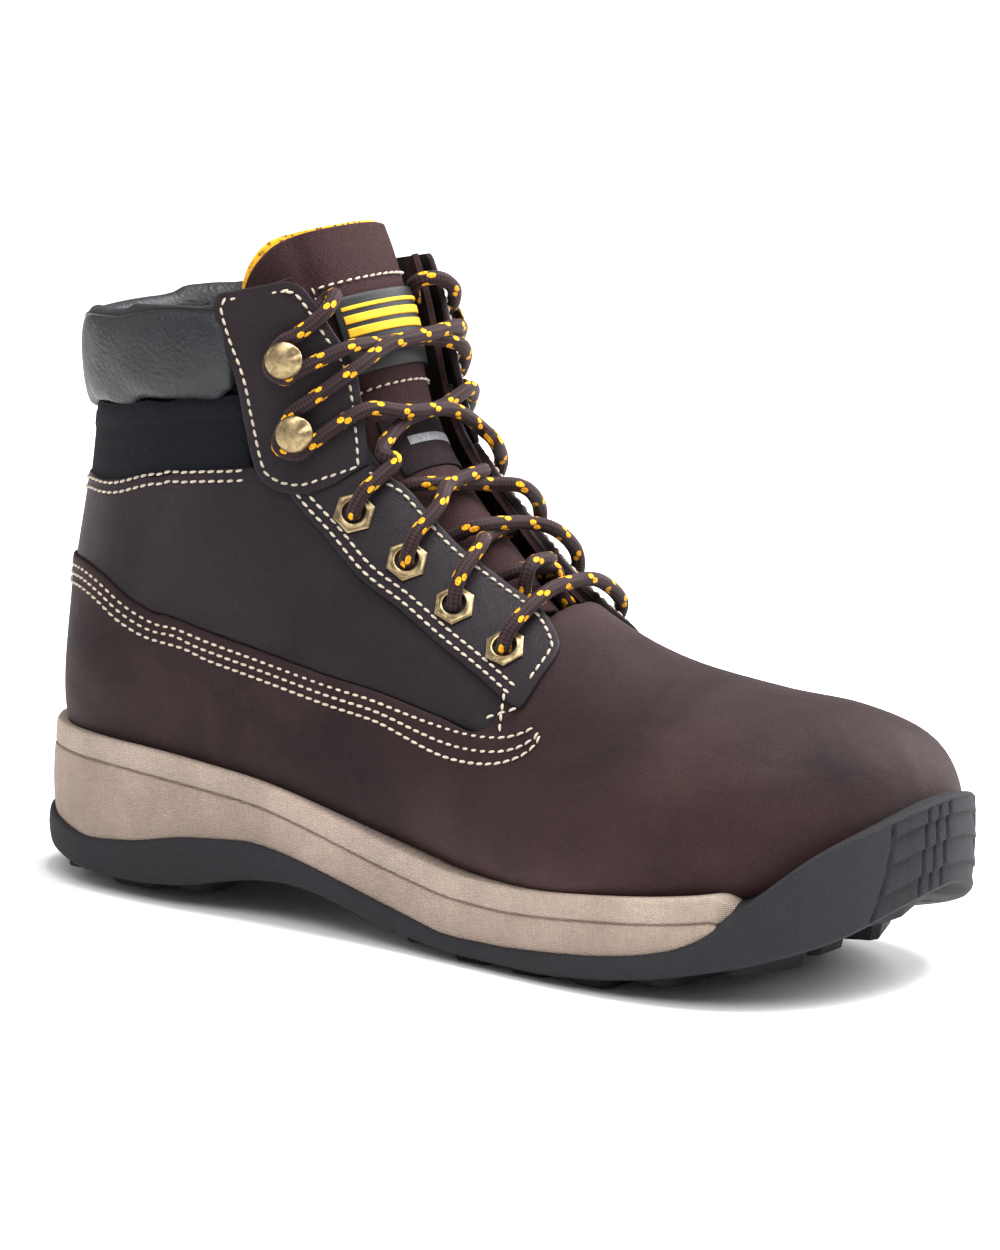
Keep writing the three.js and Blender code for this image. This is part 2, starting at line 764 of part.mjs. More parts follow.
function eyelet(rib, turn) {
  const hex = new THREE.Shape();
  const reach = EYELET.flats / Math.sqrt(3);
  for (let k = 0; k < 6; k += 1) hex.lineTo(reach * Math.cos(k * 1.0472), reach * Math.sin(k * 1.0472));
  hex.curves.shift();
  const hole = new THREE.Path().absarc(0, 0, EYELET.bore, 0, 2 * Math.PI, true);
  hex.holes.push(hole);
  const plate = new THREE.ExtrudeGeometry(hex, { depth: EYELET.plate, bevelEnabled: false, curveSegments: 4 });
  const barrel = new THREE.Shape().absarc(0, 0, EYELET.barrel, 0, 2 * Math.PI, false);
  barrel.holes.push(hole);
  const tube = new THREE.ExtrudeGeometry(barrel, { depth: 6, bevelEnabled: false, curveSegments: 4 });
  tube.translate(0, 0, -5.6);
  const joined = bareSolid(plate).add(bareSolid(tube));
  return geometryFrom(joined).applyMatrix4(standing(rib, turn, OVERLAY[1] + 0.3));
}

function holeCutter(rib, turn) {
  const drill = new THREE.CylinderGeometry(EYELET.hole, EYELET.hole, 14, 9);
  drill.rotateX(Math.PI / 2);
  drill.applyMatrix4(standing(rib, turn, 0));
  return bareSolid(drill);
}

function hook(rib, turn) {
  const { base, neck, rise, head, crown } = HOOK;
  const profile = [
    [0, 0],
    [base, 0],
    [base, 0.7],
    [neck, 1.1],
    [neck, rise],
    [head, rise],
    [head * 0.8, rise + crown * 0.75],
    [0, rise + crown],
  ].map(([r, z]) => new THREE.Vector2(r, z));
  const lathe = new THREE.LatheGeometry(profile, 12);
  lathe.rotateX(Math.PI / 2);
  lathe.applyMatrix4(standing(rib, turn, OVERLAY[1] + 0.3));
  const bare = new THREE.BufferGeometry();
  bare.setAttribute("position", lathe.getAttribute("position"));
  bare.setIndex(lathe.index);
  return geometryFrom(bareSolid(closed({ points: pointsOf(bare), index: [...bare.index.array] })));
}

function pointsOf(geometry) {
  const { array, count } = geometry.getAttribute("position");
  return Array.from({ length: count }, (_, i) => new THREE.Vector3().fromArray(array, i * 3));
}

const withHoles = (geometry, side) => {
  let solid = bareSolid(geometry);
  for (const [rib, turn] of EYELET_PLACES) solid = solid.subtract(holeCutter(rib, side * turn));
  return geometryFrom(solid);
};

// ---------- lace ----------

// Way points of one strand as (rib, turn, distance out). side is the side of the first point.
function strand(side) {
  const way = [];
  const go = (rib, turn, out) => way.push(place(rib, turn, out));
  const under = FACING_LINING[0] - LACE_RADIUS - 0.7;
  const over = OVERLAY[1] + 0.4 + LACE_RADIUS + EYELET.plate;
  const edge = (rib, at, out) => go(rib, at * tableAt(FACING_EDGE, rib), out);
  let now = side;
  // Out through an eyelet, over the edge of its facing, across and under the other facing.
  const rise = (k) => {
    const [rib, turn] = EYELET_PLACES[k];
    go(rib, now * turn, under);
    go(rib, now * turn, -1);
    go(rib, now * turn, over - 1.8);
    go(rib + 0.1, now * (turn - 0.03), over + 1.2);
    edge(rib + 0.25, now * 0.86, over + 0.3);
  };
  const cross = (ribFrom, ribTo, lift) => {
    edge(mix(ribFrom, ribTo, 0.35), now * 0.45, lift);
    edge(mix(ribFrom, ribTo, 0.6), -now * 0.45, lift * 0.6 - 0.6);
    edge(mix(ribFrom, ribTo, 0.78), -now * 0.7, -2.8);
    now = -now;
    edge(mix(ribFrom, ribTo, 0.88), now * 0.93, under + 0.4);
    edge(ribTo - 0.06, now * 1.3, under);
  };
  const [low] = EYELET_PLACES[3];
  // Bottom bar: from the middle, over the facing, down its eyelet.
  go(low - 0.02, 0, over - 1.2);
  edge(low, now * 0.75, over);
  go(low, now * (EYELET_PLACES[3][1] - 0.022), over + 1.1);
  go(low, now * EYELET_PLACES[3][1], over - 1.6);
  go(low, now * EYELET_PLACES[3][1], -1);
  go(low + 0.03, now * EYELET_PLACES[3][1], under);
  edge(low + 0.2, now * 1.15, under);
  edge(low + 0.3, now * 0.85, under + 0.5);
  const lift = side < 0 ? 3.0 : -0.1;
  const step = (k) => {
    rise(k);
    return EYELET_PLACES[k][0];
  };
  cross(low + 0.3, EYELET_PLACES[2][0], lift);
  cross(step(2) + 0.2, EYELET_PLACES[1][0], lift);
  cross(step(1) + 0.2, EYELET_PLACES[0][0], lift);
  return { way, go, edge, rise, over, side: () => now, turnSide: () => { now = -now; } };
}

function strandWay(side) {
  const run = strand(side);
  const { way, go, edge, rise, over } = run;
  const lift = side < 0 ? 3.4 : 0.2;
  const level = OVERLAY[1] + 0.3 + 1.5 + LACE_RADIUS;
  const around = (k) => {
    const [rib, turn] = HOOK_PLACES[k];
    const now = run.side();
    go(rib - 0.34, now * (turn - 0.045), level);
    go(rib - 0.36, now * (turn + 0.004), level);
    go(rib, now * (turn + 0.05), level);
    go(rib + 0.36, now * (turn + 0.004), level);
    go(rib + 0.34, now * (turn - 0.045), level);
  };
  const across = (ribFrom, ribTo, up) => {
    edge(ribFrom, run.side() * 0.95, over - 0.6);
    edge(mix(ribFrom, ribTo, 0.4), run.side() * 0.35, up);
    edge(mix(ribFrom, ribTo, 0.6), -run.side() * 0.35, up);
    run.turnSide();
    edge(ribTo, run.side() * 0.95, over - 0.6);
  };
  rise(0);
  across(9.75, 10.75, lift);
  around(1);
  across(11.65, 12.12, lift);
  around(0);
  edge(13.15, run.side() * 1.02, over + 0.2);
  edge(13.4, run.side() * 0.74, 2.6);
  edge(13.5, run.side() * 0.6, -2);
  edge(13.45, run.side() * 0.66, -5);
  edge(13.3, run.side() * 0.9, -6.3);
  edge(12.95, run.side() * 1.25, -6.3);
  return way;
}

function lacePath() {
  const first = strandWay(-1);
  const second = strandWay(1);
  return new THREE.CatmullRomCurve3([...first.reverse(), ...second.slice(1)], false, "centripetal");
}

function lace() {
  const section = new THREE.Shape();
  for (let k = 0; k < LACE_SIDES; k += 1) {
    const angle = (k / LACE_SIDES) * 2 * Math.PI;
    section[k ? "lineTo" : "moveTo"](LACE_RADIUS * Math.cos(angle), LACE_RADIUS * Math.sin(angle));
  }
  section.closePath();
  const path = lacePath();
  const steps = Math.round(path.getLength() / 6);
  const geometry = new THREE.ExtrudeGeometry(section, { steps, extrudePath: path, bevelEnabled: false });
  return geometryFrom(bareSolid(geometry));
}

// ---------- the boot ----------

const boot = new THREE.Group();
boot.name = "steel_toe_work_boot";

function add(name, geometry, color, roughness, metalness = 0) {
  const moved = geometry.clone();
  moved.translate(-CENTRE_X, -CENTRE_Y, 0);
  if (!moved.getAttribute("normal")) moved.computeVertexNormals();
  const material = new THREE.MeshStandardMaterial({ color, roughness, metalness });
  const mesh = new THREE.Mesh(moved, material);
  mesh.name = name;
  boot.add(mesh);
}

const BROWN = 0x4b3737;
const DARK_BROWN = 0x3e363c;
const SUEDE = 0x4b373c;
const BRASS = 0x96876a;

add("outsole", geometryFrom(outsoleSolid()), 0x3e3e46, 0.75);
add("midsole", geometryFrom(midsoleSolid()), 0xb4a596, 0.8);
add("insole_board", sheet(labelPlace(1.7, 9.9, 0.91, 1.09), 4, 14, flatLayer(INSOLE_BOARD)), 0xa89a80, 0.9);
add("footbed", sheet(labelPlace(1.3, 9.85, 0.872, 1.128), 6, 16, flatLayer(FOOTBED)), 0x2c2c30, 0.9);
add("steel_toe_cap", sheet(toeCapPlace, 18, 8, flatLayer(TOE_CAP)), 0x9a9ca0, 0.4, 1);
add("heel_counter", sheet(counterPlace, 14, 3, flatLayer(COUNTER)), 0x77706a, 0.8);
add("vamp", vampSheet(), BROWN, 0.8);
add("lining", liningSheet(), 0x2b2c30, 0.95);
add("collar_band", sheet(bandPlace, 24, 1, flatLayer(LEATHER)), 0x12141c, 0.9);
add("collar_pad", collarPad(), 0x3e4244, 0.55);
add("back_strip", sheet(backPlace(0.955, 11.25, 13.1), 3, 6, flatLayer(OVERLAY)), 0x18181b, 0.6);
for (const [side, label] of [[-1, "lateral"], [1, "medial"]]) {
  const turnTo = side < 0 ? (where) => where : mirrored;
  const quarter = sheet(turnTo(quarterPlace), 18, 5, flatLayer(LEATHER));
  const stay = sheet(turnTo(staySheetPlace), 5, 9, flatLayer(OVERLAY));
  const facing = sheet(turnTo(facingLiningPlace), 3, 13, flatLayer(FACING_LINING));
  add("quarter_" + label, withHoles(quarter, side), DARK_BROWN, 0.75);
  add("eyelet_stay_" + label, withHoles(stay, side), DARK_BROWN, 0.75);
  add("facing_lining_" + label, withHoles(facing, side), SUEDE, 0.95);
  add("hook_flap_" + label, sheet(turnTo(flapPlace), 5, 9, flapLayer), DARK_BROWN, 0.6);
  EYELET_PLACES.forEach(([rib, turn], k) => {
    add("eyelet_" + label + "_" + (k + 1), eyelet(rib, side * turn), BRASS, 0.4, 1);
  });
  HOOK_PLACES.forEach(([rib, turn], k) => {
    add("hook_" + label + "_" + (k + 1), hook(rib, side * turn), BRASS, 0.4, 1);
  });
}
add("tongue", sheet(tonguePlace(0), 8, 14, TONGUE_LAYER), SUEDE, 0.95);
add("tongue_lining", sheet(tonguePlace(0.14), 8, 14, TONGUE_LINING_LAYER), 0xebaf3c, 0.9);
add("tongue_label", sheet(labelPlace(11.35, 13.3, -0.095, 0.11), 8, 5, labelLayer(1.6)), 0x141518, 0.6);
add("woven_label", sheet(labelPlace(9.3, 10.35, -0.07, 0.11), 7, 4, labelLayer(0.6)), 0x16161a, 0.9);
add("lace", lace(), 0x463232, 0.9);

export default boot;
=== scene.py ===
"""Looks of the steel toe work boot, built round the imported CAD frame.

Lengths are worked in millimetres in the drawing frame: X from heel to toe, Y to the inner side, Z up.
mesh_piece() moves them to the row frame, in metres.
"""

import math

import bpy
import numpy as np
from mathutils import Matrix, Vector
from mathutils.bvhtree import BVHTree


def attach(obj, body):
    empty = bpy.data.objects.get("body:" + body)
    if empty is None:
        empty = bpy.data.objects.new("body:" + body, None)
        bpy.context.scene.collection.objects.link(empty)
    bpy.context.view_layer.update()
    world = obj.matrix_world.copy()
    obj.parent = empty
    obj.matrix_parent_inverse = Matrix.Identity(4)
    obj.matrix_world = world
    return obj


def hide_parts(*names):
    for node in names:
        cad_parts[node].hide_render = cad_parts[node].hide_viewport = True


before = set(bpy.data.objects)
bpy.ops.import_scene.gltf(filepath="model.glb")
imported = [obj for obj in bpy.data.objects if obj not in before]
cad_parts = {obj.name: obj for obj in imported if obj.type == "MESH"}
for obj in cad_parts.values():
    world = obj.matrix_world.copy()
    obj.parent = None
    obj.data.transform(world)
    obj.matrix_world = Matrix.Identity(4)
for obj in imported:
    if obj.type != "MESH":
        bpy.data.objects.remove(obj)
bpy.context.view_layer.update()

MM = 0.001
CENTRE = np.array([149.75, -2.33, 0.0])

# The upper's ribs, from the toe tip to the top line: top or front x, z; bottom or back x, z;
# outer and inner half width; middle y; where the widest place lies; squareness of top and bottom halves.
RIBS = np.array([
    [297.5, 47, 297.5, 45, 1, 1, 5, 0.55, 2.0, 2.0],
    [294, 61, 295, 34, 20, 16, 5, 0.62, 2.2, 2.6],
    [283, 72, 284, 29, 34, 30, 5, 0.66, 2.3, 3.2],
    [263, 78, 263, 25, 45, 41, 2, 0.7, 2.2, 3.4],
    [239, 80, 236, 21, 51, 46, 0, 0.73, 2.1, 3.4],
    [212, 85, 206, 19, 52, 46, -1, 0.75, 1.8, 3.4],
    [187, 94, 174, 20, 48, 43, 0, 0.74, 1.6, 3.4],
    [164, 104, 140, 24, 43, 41, 0, 0.7, 1.65, 3.2],
    [145, 116, 104, 27, 40, 39, 0, 0.66, 1.8, 3.2],
    [131, 129, 60, 29, 38.5, 38, 0, 0.6, 2.0, 3.2],
    [121, 142, 26, 31, 37.5, 37, 0, 0.58, 2.2, 3.0],
    [116, 155, 8, 43, 37, 36.5, 0, 0.55, 2.3, 2.6],
    [112, 167, 7, 80, 36.5, 36, 0, 0.53, 2.4, 2.2],
    [108, 177, 12, 114, 36, 36, 0, 0.51, 2.5, 2.1],
    [104, 186, 15, 140, 36, 36, 0, 0.5, 2.5, 2.1],
    [101, 193, 14, 164, 36, 36, 0, 0.5, 2.5, 2.1],
    [98, 200, 13, 176, 36, 36, 0, 0.5, 2.5, 2.1],
])

# Pattern lines on the upper as (rib, turn): turn 0 is the front centre line and 1 the back.
VAMP_TOP = [(6.35, 0), (6.4, 0.06), (6.42, 0.13), (6.28, 0.28), (6.4, 0.335), (6.88, 0.352), (7.65, 0.38),
            (8.38, 0.418), (9.1, 0.452), (9.92, 0.476), (10.37, 0.493), (10.85, 0.512), (11.15, 0.536),
            (11.45, 0.575), (11.75, 0.632), (12.1, 0.73), (12.34, 0.86), (12.42, 1)]
VAMP_BOTTOM = [(0.1, 0), (0.1, 0.3), (0.25, 0.6), (2.5, 0.85), (4.8, 0.86), (6.6, 0.86), (7.8, 0.86),
               (8.8, 0.87), (9.6, 0.89), (10.1, 0.915), (10.45, 0.94), (10.6, 0.96), (10.7, 0.98), (10.75, 1)]
LINING_TOP = [(6.1, 0), (6.15, 0.06), (6.2, 0.15), (6.4, 0.285), (7.4, 0.3), (8.6, 0.305), (9.8, 0.31),
              (11, 0.32), (12.3, 0.335), (13.4, 0.352), (13.7, 0.39), (13.75, 0.46), (13.9, 0.6), (14.3, 0.8),
              (14.4, 1)]
FACING_EDGE = [(6.3, 0.115), (7.2, 0.1), (8.4, 0.107), (9.4, 0.125), (10.3, 0.13), (11.6, 0.12),
               (12.8, 0.15), (13.7, 0.18), (14.6, 0.21)]
QUARTER_TOP = [(0.1, 10.95), (0.3, 11.1), (0.42, 11.8), (0.52, 12.38), (0.75, 12.98), (1, 13.32)]
COLLAR_BOTTOM = [(0.36, 12.3), (0.45, 12.76), (0.55, 13.23), (0.74, 13.71), (1, 13.83)]
COLLAR_TOP = [(0.36, 14.5), (0.5, 14.95), (0.7, 15.3), (1, 15.4)]
STAY_FRONT = [(6.02, 0.2), (6.03, 0.165), (6.15, 0.135), (6.58, 0.103), (7.2, 0.1), (7.85, 0.107),
              (8.45, 0.107), (9.03, 0.11), (9.45, 0.13), (9.7, 0.14)]
STAY_BACK = [(6.02, 0.24), (6.05, 0.27), (6.25, 0.272), (6.7, 0.265), (7.3, 0.263), (7.95, 0.263),
             (8.6, 0.273), (9.45, 0.273), (10.3, 0.285), (10.6, 0.29)]
FLAP_FRONT = [(9.75, 0.15), (10.1, 0.134), (10.6, 0.123), (11.03, 0.118), (11.68, 0.118), (12.8, 0.153),
              (13.73, 0.182), (14.1, 0.2), (14.36, 0.232)]
FLAP_BACK = [(9.86, 0.215), (10.1, 0.262), (10.43, 0.293), (10.78, 0.314), (11.15, 0.329), (12.43, 0.357),
             (13.48, 0.388), (14.3, 0.4), (14.62, 0.385)]
EYELETS = [(9.28, 0.215), (8.25, 0.2), (7.4, 0.2), (6.58, 0.205)]
HOOKS = [(12.58, 0.26), (11.18, 0.25)]
# How far the inner side of the opening stands away, as the slack laces let it.
SPLAY = np.array([4.0, 11.0, 0.0])

# Heights over the upper's surface: the eyelet stay's face; the lace's middle under the facing, over the
# flap and round a hook's neck.
STAY_OUT = 1.75
LACE_RADIUS = 2.15
UNDER, OVER, HOOK_LEVEL = -5.95, 5.15, 5.75

# Profiles of the fittings: radius and height, and for the eyelet how hexagonal that ring is.
EYELET_PROFILE = [(3.9, -4.0, 0), (3.9, -0.1, 0), (5.0, -0.1, 1), (5.4, 0.15, 1), (5.4, 0.6, 1),
                  (5.15, 0.85, 1), (4.75, 0.92, 1), (4.4, 0.95, 0.4), (4.15, 1.25, 0), (3.85, 1.45, 0),
                  (3.5, 1.35, 0), (3.28, 1.0, 0), (3.2, 0.4, 0), (3.2, -4.0, 0)]
HOOK_PROFILE = [(0.01, 0), (4.3, 0), (4.55, 0.2), (4.5, 0.55), (3.9, 0.8), (2.4, 1.0), (1.9, 1.6), (1.8, 5.0),
                (2.3, 5.7), (4.6, 5.75), (5.25, 6.0), (5.45, 6.5), (5.3, 6.95), (4.7, 7.6), (3.6, 8.15),
                (2.2, 8.5), (0.8, 8.62), (0.01, 8.63)]

SOLE_START, SOLE_END = -1.5, 301.0
# Behind and past these x, the sole's rim is drawn on the upper in a fan rather than straight across.
HEEL_FAN, TOE_FAN = 45.0, 250.0
# x, then y of the outer and the inner side.
SOLE_PLAN = np.array([
    [-1.5, 0, 0], [3, -15.5, 15.5], [12, -26.5, 26], [28, -35.5, 34.5], [60, -41, 40], [100, -42, 39.5],
    [140, -45, 42], [180, -51, 47], [210, -55.5, 51], [235, -56.5, 52], [260, -52.5, 50], [280, -41, 42],
    [291, -28, 32], [297.5, -13, 21], [301, 5, 5],
])
# x, bottom edge, top of the outsole wall, top of the midsole.
SOLE_HEIGHTS = np.array([
    [-1.5, 11, 20, 45.5], [11, 7, 18, 46], [30, 5, 15.2, 46], [50, 5, 17.5, 45.4], [67, 6.5, 21.3, 44.3],
    [92, 12, 23.6, 41.9], [104, 13, 22, 39.5], [116, 12, 19.3, 36.5], [140, 6, 13.2, 30.4],
    [165, 2.6, 7.8, 25.8], [187, 2.4, 8.1, 25.2], [204, 2.6, 9.5, 26.4], [220, 4, 11, 28],
    [235, 6, 13.2, 29.3], [246, 8, 15.8, 30.6], [252, 9.4, 18, 31.4], [258, 10.7, 21.6, 32.4],
    [264, 12, 27, 33.6], [270, 13.5, 33, 34.4], [278, 16, 40.5, 34], [285, 18.5, 46.6, 33],
    [292, 22, 50.6, 32], [301, 31, 57, 32],
])
# Rings of the outsole's foot and of the midsole's groove: mm out, and up from the edge or the groove.
OUTSOLE_FOOT = [(-12, 0.9), (-3.4, 0.25), (-2.0, 0), (-0.9, 0.35), (-0.1, 1.2)]
MIDSOLE_GROOVE = [(0.0, -0.75), (-0.35, -0.35), (-0.95, -0.1), (-1.0, 0.15), (-0.55, 0.4), (-0.2, 0.75)]


# ---------- numbers ----------

def mix(a, b, t):
    return a + (b - a) * t


def smooth(a):
    t = np.clip(a, 0.0, 1.0)
    return t * t * (3 - 2 * t)


def catmull(rows, at):
    """Catmull-Rom value of a table's rows at fractional row numbers."""
    rows = np.asarray(rows, float)
    at = np.asarray(at, float)
    last = len(rows) - 1
    i = np.clip(np.floor(at).astype(int), 0, last - 1)
    t = (at - i)[..., None]
    a, b, c, d = (rows[np.clip(i + k, 0, last)] for k in (-1, 0, 1, 2))
    return 0.5 * (2 * b + (c - a) * t + (2 * a - 5 * b + 4 * c - d) * t**2 + (3 * (b - c) + d - a) * t**3)


def table(rows, x):
    """A table's second column, read at x of its first."""
    rows = np.asarray(rows, float)
    return np.interp(x, rows[:, 0], rows[:, 1])


def read_rows(at, run, rows):
    """Rows of a table, read at places along its run."""
    return np.stack([np.interp(at, run, column) for column in rows.T], -1)


def smoothed(xs, ys, sigma, count=700):
    """The values as an evenly spaced table, blurred by sigma, for reading curves without kinks."""
    grid = np.linspace(xs[0], xs[-1], count)
    values = np.interp(grid, xs, ys)
    step = grid[1] - grid[0]
    reach = int(3 * sigma / step)
    weights = np.exp(-0.5 * (np.arange(-reach, reach + 1) * step / sigma) ** 2)
    ends = np.pad(values, reach, mode="reflect", reflect_type="odd")
    return grid, np.convolve(ends, weights / weights.sum(), mode="valid")


# ---------- the upper's surface ----------

def slack(rib, turn):
    """Share of SPLAY at a place: all of it at the inner edge of the opening, none below and behind it."""
    t = np.where(turn > 1, turn - 2, turn)
    return smooth((rib - 5.4) / 3) * smooth((t + 0.1) / 0.22) * (1 - smooth((t - 0.22) / 0.4))


def surface(rib, turn):
    """Points of the upper at a rib and a turn: 0 is the front centre line, 1 and -1 are the back."""
    rib, turn = np.broadcast_arrays(np.asarray(rib, float), np.asarray(turn, float))
    xt, zt, xb, zb, outer, inner, mid, widest, top, bottom = np.moveaxis(catmull(RIBS, rib), -1, 0)
    c = np.cos(turn * np.pi)
    s = np.sin(turn * np.pi)
    power = 2 / np.where(c > 0, top, bottom)
    cc = np.abs(c) ** power
    ss = np.abs(s) ** power
    f = np.where(c > 0, widest * (1 - cc), widest + (1 - widest) * cc)
    half = np.where(s < 0, -outer, inner)
    points = np.stack([mix(xt, xb, f), mid + half * ss, mix(zt, zb, f)], -1)
    return points + SPLAY * slack(rib, turn)[..., None]


def normal(rib, turn, rib_step=0.05, turn_step=0.012, lowest_rib=0.02):
    """Outward normals of the upper's surface."""
    rib, turn = np.asarray(rib, float), np.asarray(turn, float)
    along = surface(rib + rib_step, turn) - surface(np.maximum(rib - rib_step, lowest_rib), turn)
    around = surface(rib, turn + turn_step) - surface(rib, turn - turn_step)
    n = np.cross(around, along)
    return n / np.linalg.norm(n, axis=-1, keepdims=True)


def place(rib, turn, out):
    """Points out mm off the upper's surface."""
    return surface(rib, turn) + normal(rib, turn) * np.asarray(out, float)[..., None]


def shifted(path, gap, step=0.02, rounds=6, damping=0.8):
    """A (rib, turn) path moved gap mm to its left, as seen from outside, along the surface."""
    points = surface(*path.T)
    side = np.cross(normal(*path.T), np.gradient(points, axis=0))
    side *= gap / np.linalg.norm(side, axis=1, keepdims=True)
    moved = path
    for _ in range(rounds):
        rib, turn = moved.T
        by_rib = (surface(rib + step, turn) - surface(rib - step, turn)) / (2 * step)
        by_turn = (surface(rib, turn + step) - surface(rib, turn - step)) / (2 * step)
        miss = points + side - surface(rib, turn)
        aa, ab, bb = ((p * q).sum(1) for p, q in ((by_rib, by_rib), (by_rib, by_turn), (by_turn, by_turn)))
        ra, rb = (miss * by_rib).sum(1), (miss * by_turn).sum(1)
        det = aa * bb - ab * ab
        moved = moved + damping * np.stack([(ra * bb - rb * ab) / det, (rb * aa - ra * ab) / det], -1)
    return moved


def curve(points, count=600):
    """A smooth (rib, turn) path through points."""
    points = np.asarray(points, float)
    return catmull(points, np.linspace(0, len(points) - 1, count))


def lengths(points):
    steps = np.linalg.norm(np.diff(points, axis=0), axis=1)
    return np.concatenate([[0], np.cumsum(steps)])


def resampled(points, count):
    """Points spread evenly along a line in space."""
    run = lengths(points)
    return read_rows(np.linspace(0, run[-1], count), run, points)


def evenly(points, count=240):
    """A (rib, turn) path through points, spread evenly in millimetres on the surface."""
    path = curve(points)
    run = lengths(surface(*path.T))
    return read_rows(np.linspace(0, run[-1], count), run, path)


# ---------- meshes ----------

def mesh_piece(name, points, faces, materials, body="boot", slot=None, node=None, face_material=None,
               corner_weave=None, sharp=40):
    """One closed piece from points in mm and faces. It rides on a body and stands for a CAD node."""
    mesh = bpy.data.meshes.new(name)
    points = (np.asarray(points, float) - CENTRE) * MM
    mesh.from_pydata(points.tolist(), [], [list(map(int, f)) for f in faces])
    for material in materials if isinstance(materials, list) else [materials]:
        mesh.materials.append(material)
    if face_material is not None:
        mesh.polygons.foreach_set("material_index", np.asarray(face_material, np.int32))
    mesh.polygons.foreach_set("use_smooth", np.ones(len(mesh.polygons), bool))
    if corner_weave is not None:
        layer = mesh.uv_layers.new(name="weave")
        layer.data.foreach_set("uv", np.asarray(corner_weave, np.float32).ravel())
    mesh.update()
    if sharp:
        mesh.set_sharp_from_angle(angle=math.radians(sharp))
    obj = bpy.data.objects.new(name, mesh)
    bpy.context.scene.collection.objects.link(obj)
    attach(obj, body)
    if node:
        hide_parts(node)
    return obj


def grid_faces(rows, columns, close_rows=False, close_columns=False):
    """Quads between rows of points; the winding faces out when rows climb and columns turn to the left."""
    faces = []
    for j in range(rows if close_rows else rows - 1):
        row, above = j * columns, (j + 1) % rows * columns
        for i in range(columns if close_columns else columns - 1):
            k = (i + 1) % columns
            faces.append((row + i, row + k, above + k, above + i))
    return faces


def oriented(points, faces):
    """The faces, turned over if the closed mesh has a negative volume."""
    volume = 0.0
    for f in faces:
        a = points[f[0]]
        for k in range(1, len(f) - 1):
            volume += np.dot(a, np.cross(points[f[k]], points[f[k + 1]]))
    return faces if volume > 0 else [tuple(reversed(f)) for f in faces]


def joined(parts):
    """Points and faces of several closed meshes as those of one."""
    all_points, all_faces, start = [], [], 0
    for points, faces in parts:
        all_points.append(points)
        all_faces += [tuple(i + start for i in f) for f in faces]
        start += len(points)
    return np.concatenate(all_points), all_faces


def rounded_rows(count, length, radius):
    """Fractions 0..1 with extra rows in the last radius mm at each end, and the depth each one drops."""
    cut = min(radius / max(length, radius * 3), 0.2)
    low = cut * np.array([0, 0.08, 0.3, 0.62])
    core = np.linspace(0, 1, count)
    core = core[(core >= cut) & (core <= 1 - cut)]
    values = np.unique(np.round(np.concatenate([low, core, 1 - low]), 7))
    over = np.clip(1 - np.minimum(values, 1 - values) / cut, 0, 1)
    return values, radius * (1 - np.sqrt(1 - over * over))


def sheet_piece(name, where, size, cells, layer, materials, ring=False, radius=0.8, **more):
    """A leather or fabric panel with rounded edges. where(s, t) gives (rib, turn) arrays; size is its rough
    width and height in mm; layer(rib, turn, s, t) gives its inner and outer distance from the surface.
    Of two materials, the second covers the cut edges."""
    if ring:
        s = np.arange(cells[0]) / cells[0]
        s_drop = np.zeros(cells[0])
    else:
        s, s_drop = rounded_rows(cells[0], size[0], radius)
    t, t_drop = rounded_rows(cells[1], size[1], radius)
    ss, tt = np.meshgrid(s, t)
    rib, turn = where(ss, tt)
    inner, outer = layer(rib, turn, ss, tt)
    drop = np.minimum(np.hypot(s_drop[None, :], t_drop[:, None]), radius)
    over, under = place(rib, turn, outer - drop), place(rib, turn, inner)
    points = np.concatenate([over.reshape(-1, 3), under.reshape(-1, 3)])
    rows, columns = rib.shape
    half = rows * columns
    top = grid_faces(rows, columns, close_columns=ring)
    faces = top + [tuple(i + half for i in reversed(f)) for f in top]
    first = list(range(columns))
    last = [half - 1 - i for i in first]
    walls = [first, last]
    if not ring:
        right = [j * columns + columns - 1 for j in range(1, rows - 1)]
        left = [j * columns for j in range(rows - 2, 0, -1)]
        walls = [first + right + last + left]
    kinds = [0] * len(faces)
    for wall in walls:
        faces += [(b, a, a + half, b + half) for a, b in zip(wall, wall[1:] + wall[:1])]
    kinds += [1 if isinstance(materials, list) else 0] * (len(faces) - len(kinds))
    return mesh_piece(name, points, oriented(points, faces), materials, face_material=kinds, **more)


def layer_of(inner, outer):
    """A layer of even thickness."""
    return lambda rib, turn, s, t: (inner, outer)


def sided(where, side):
    """A patch on one side of the boot: -1 the outer, 1 the inner."""
    def other(s, t):
        rib, turn = where(s, t)
        return rib, turn * side
    return other


def between_edges(front, back, count=400):
    """Patch between a front and a back (rib, turn) curve that both run upwards."""
    front, back = evenly(front, count), evenly(back, count)
    share = np.linspace(0, 1, count)

    def where(s, t):
        p = mix(read_rows(t, share, front), read_rows(t, share, back), s[..., None])
        return p[..., 0], p[..., 1]
    return where


def round_boot(top, bottom, count=400):
    """Ring patch round the boot: s = 0 at the front centre line, 0.5 at the back."""
    top, bottom = curve(top, count), curve(bottom, count)
    share = np.linspace(0, 1, count)

    def where(s, t):
        half = 1 - np.abs(1 - 2 * s)
        side = np.where(s <= 0.5, -1.0, 1.0)
        p = mix(read_rows(half, share, top), read_rows(half, share, bottom), t[..., None])
        return p[..., 0], side * p[..., 1]
    return where


# ---------- materials ----------

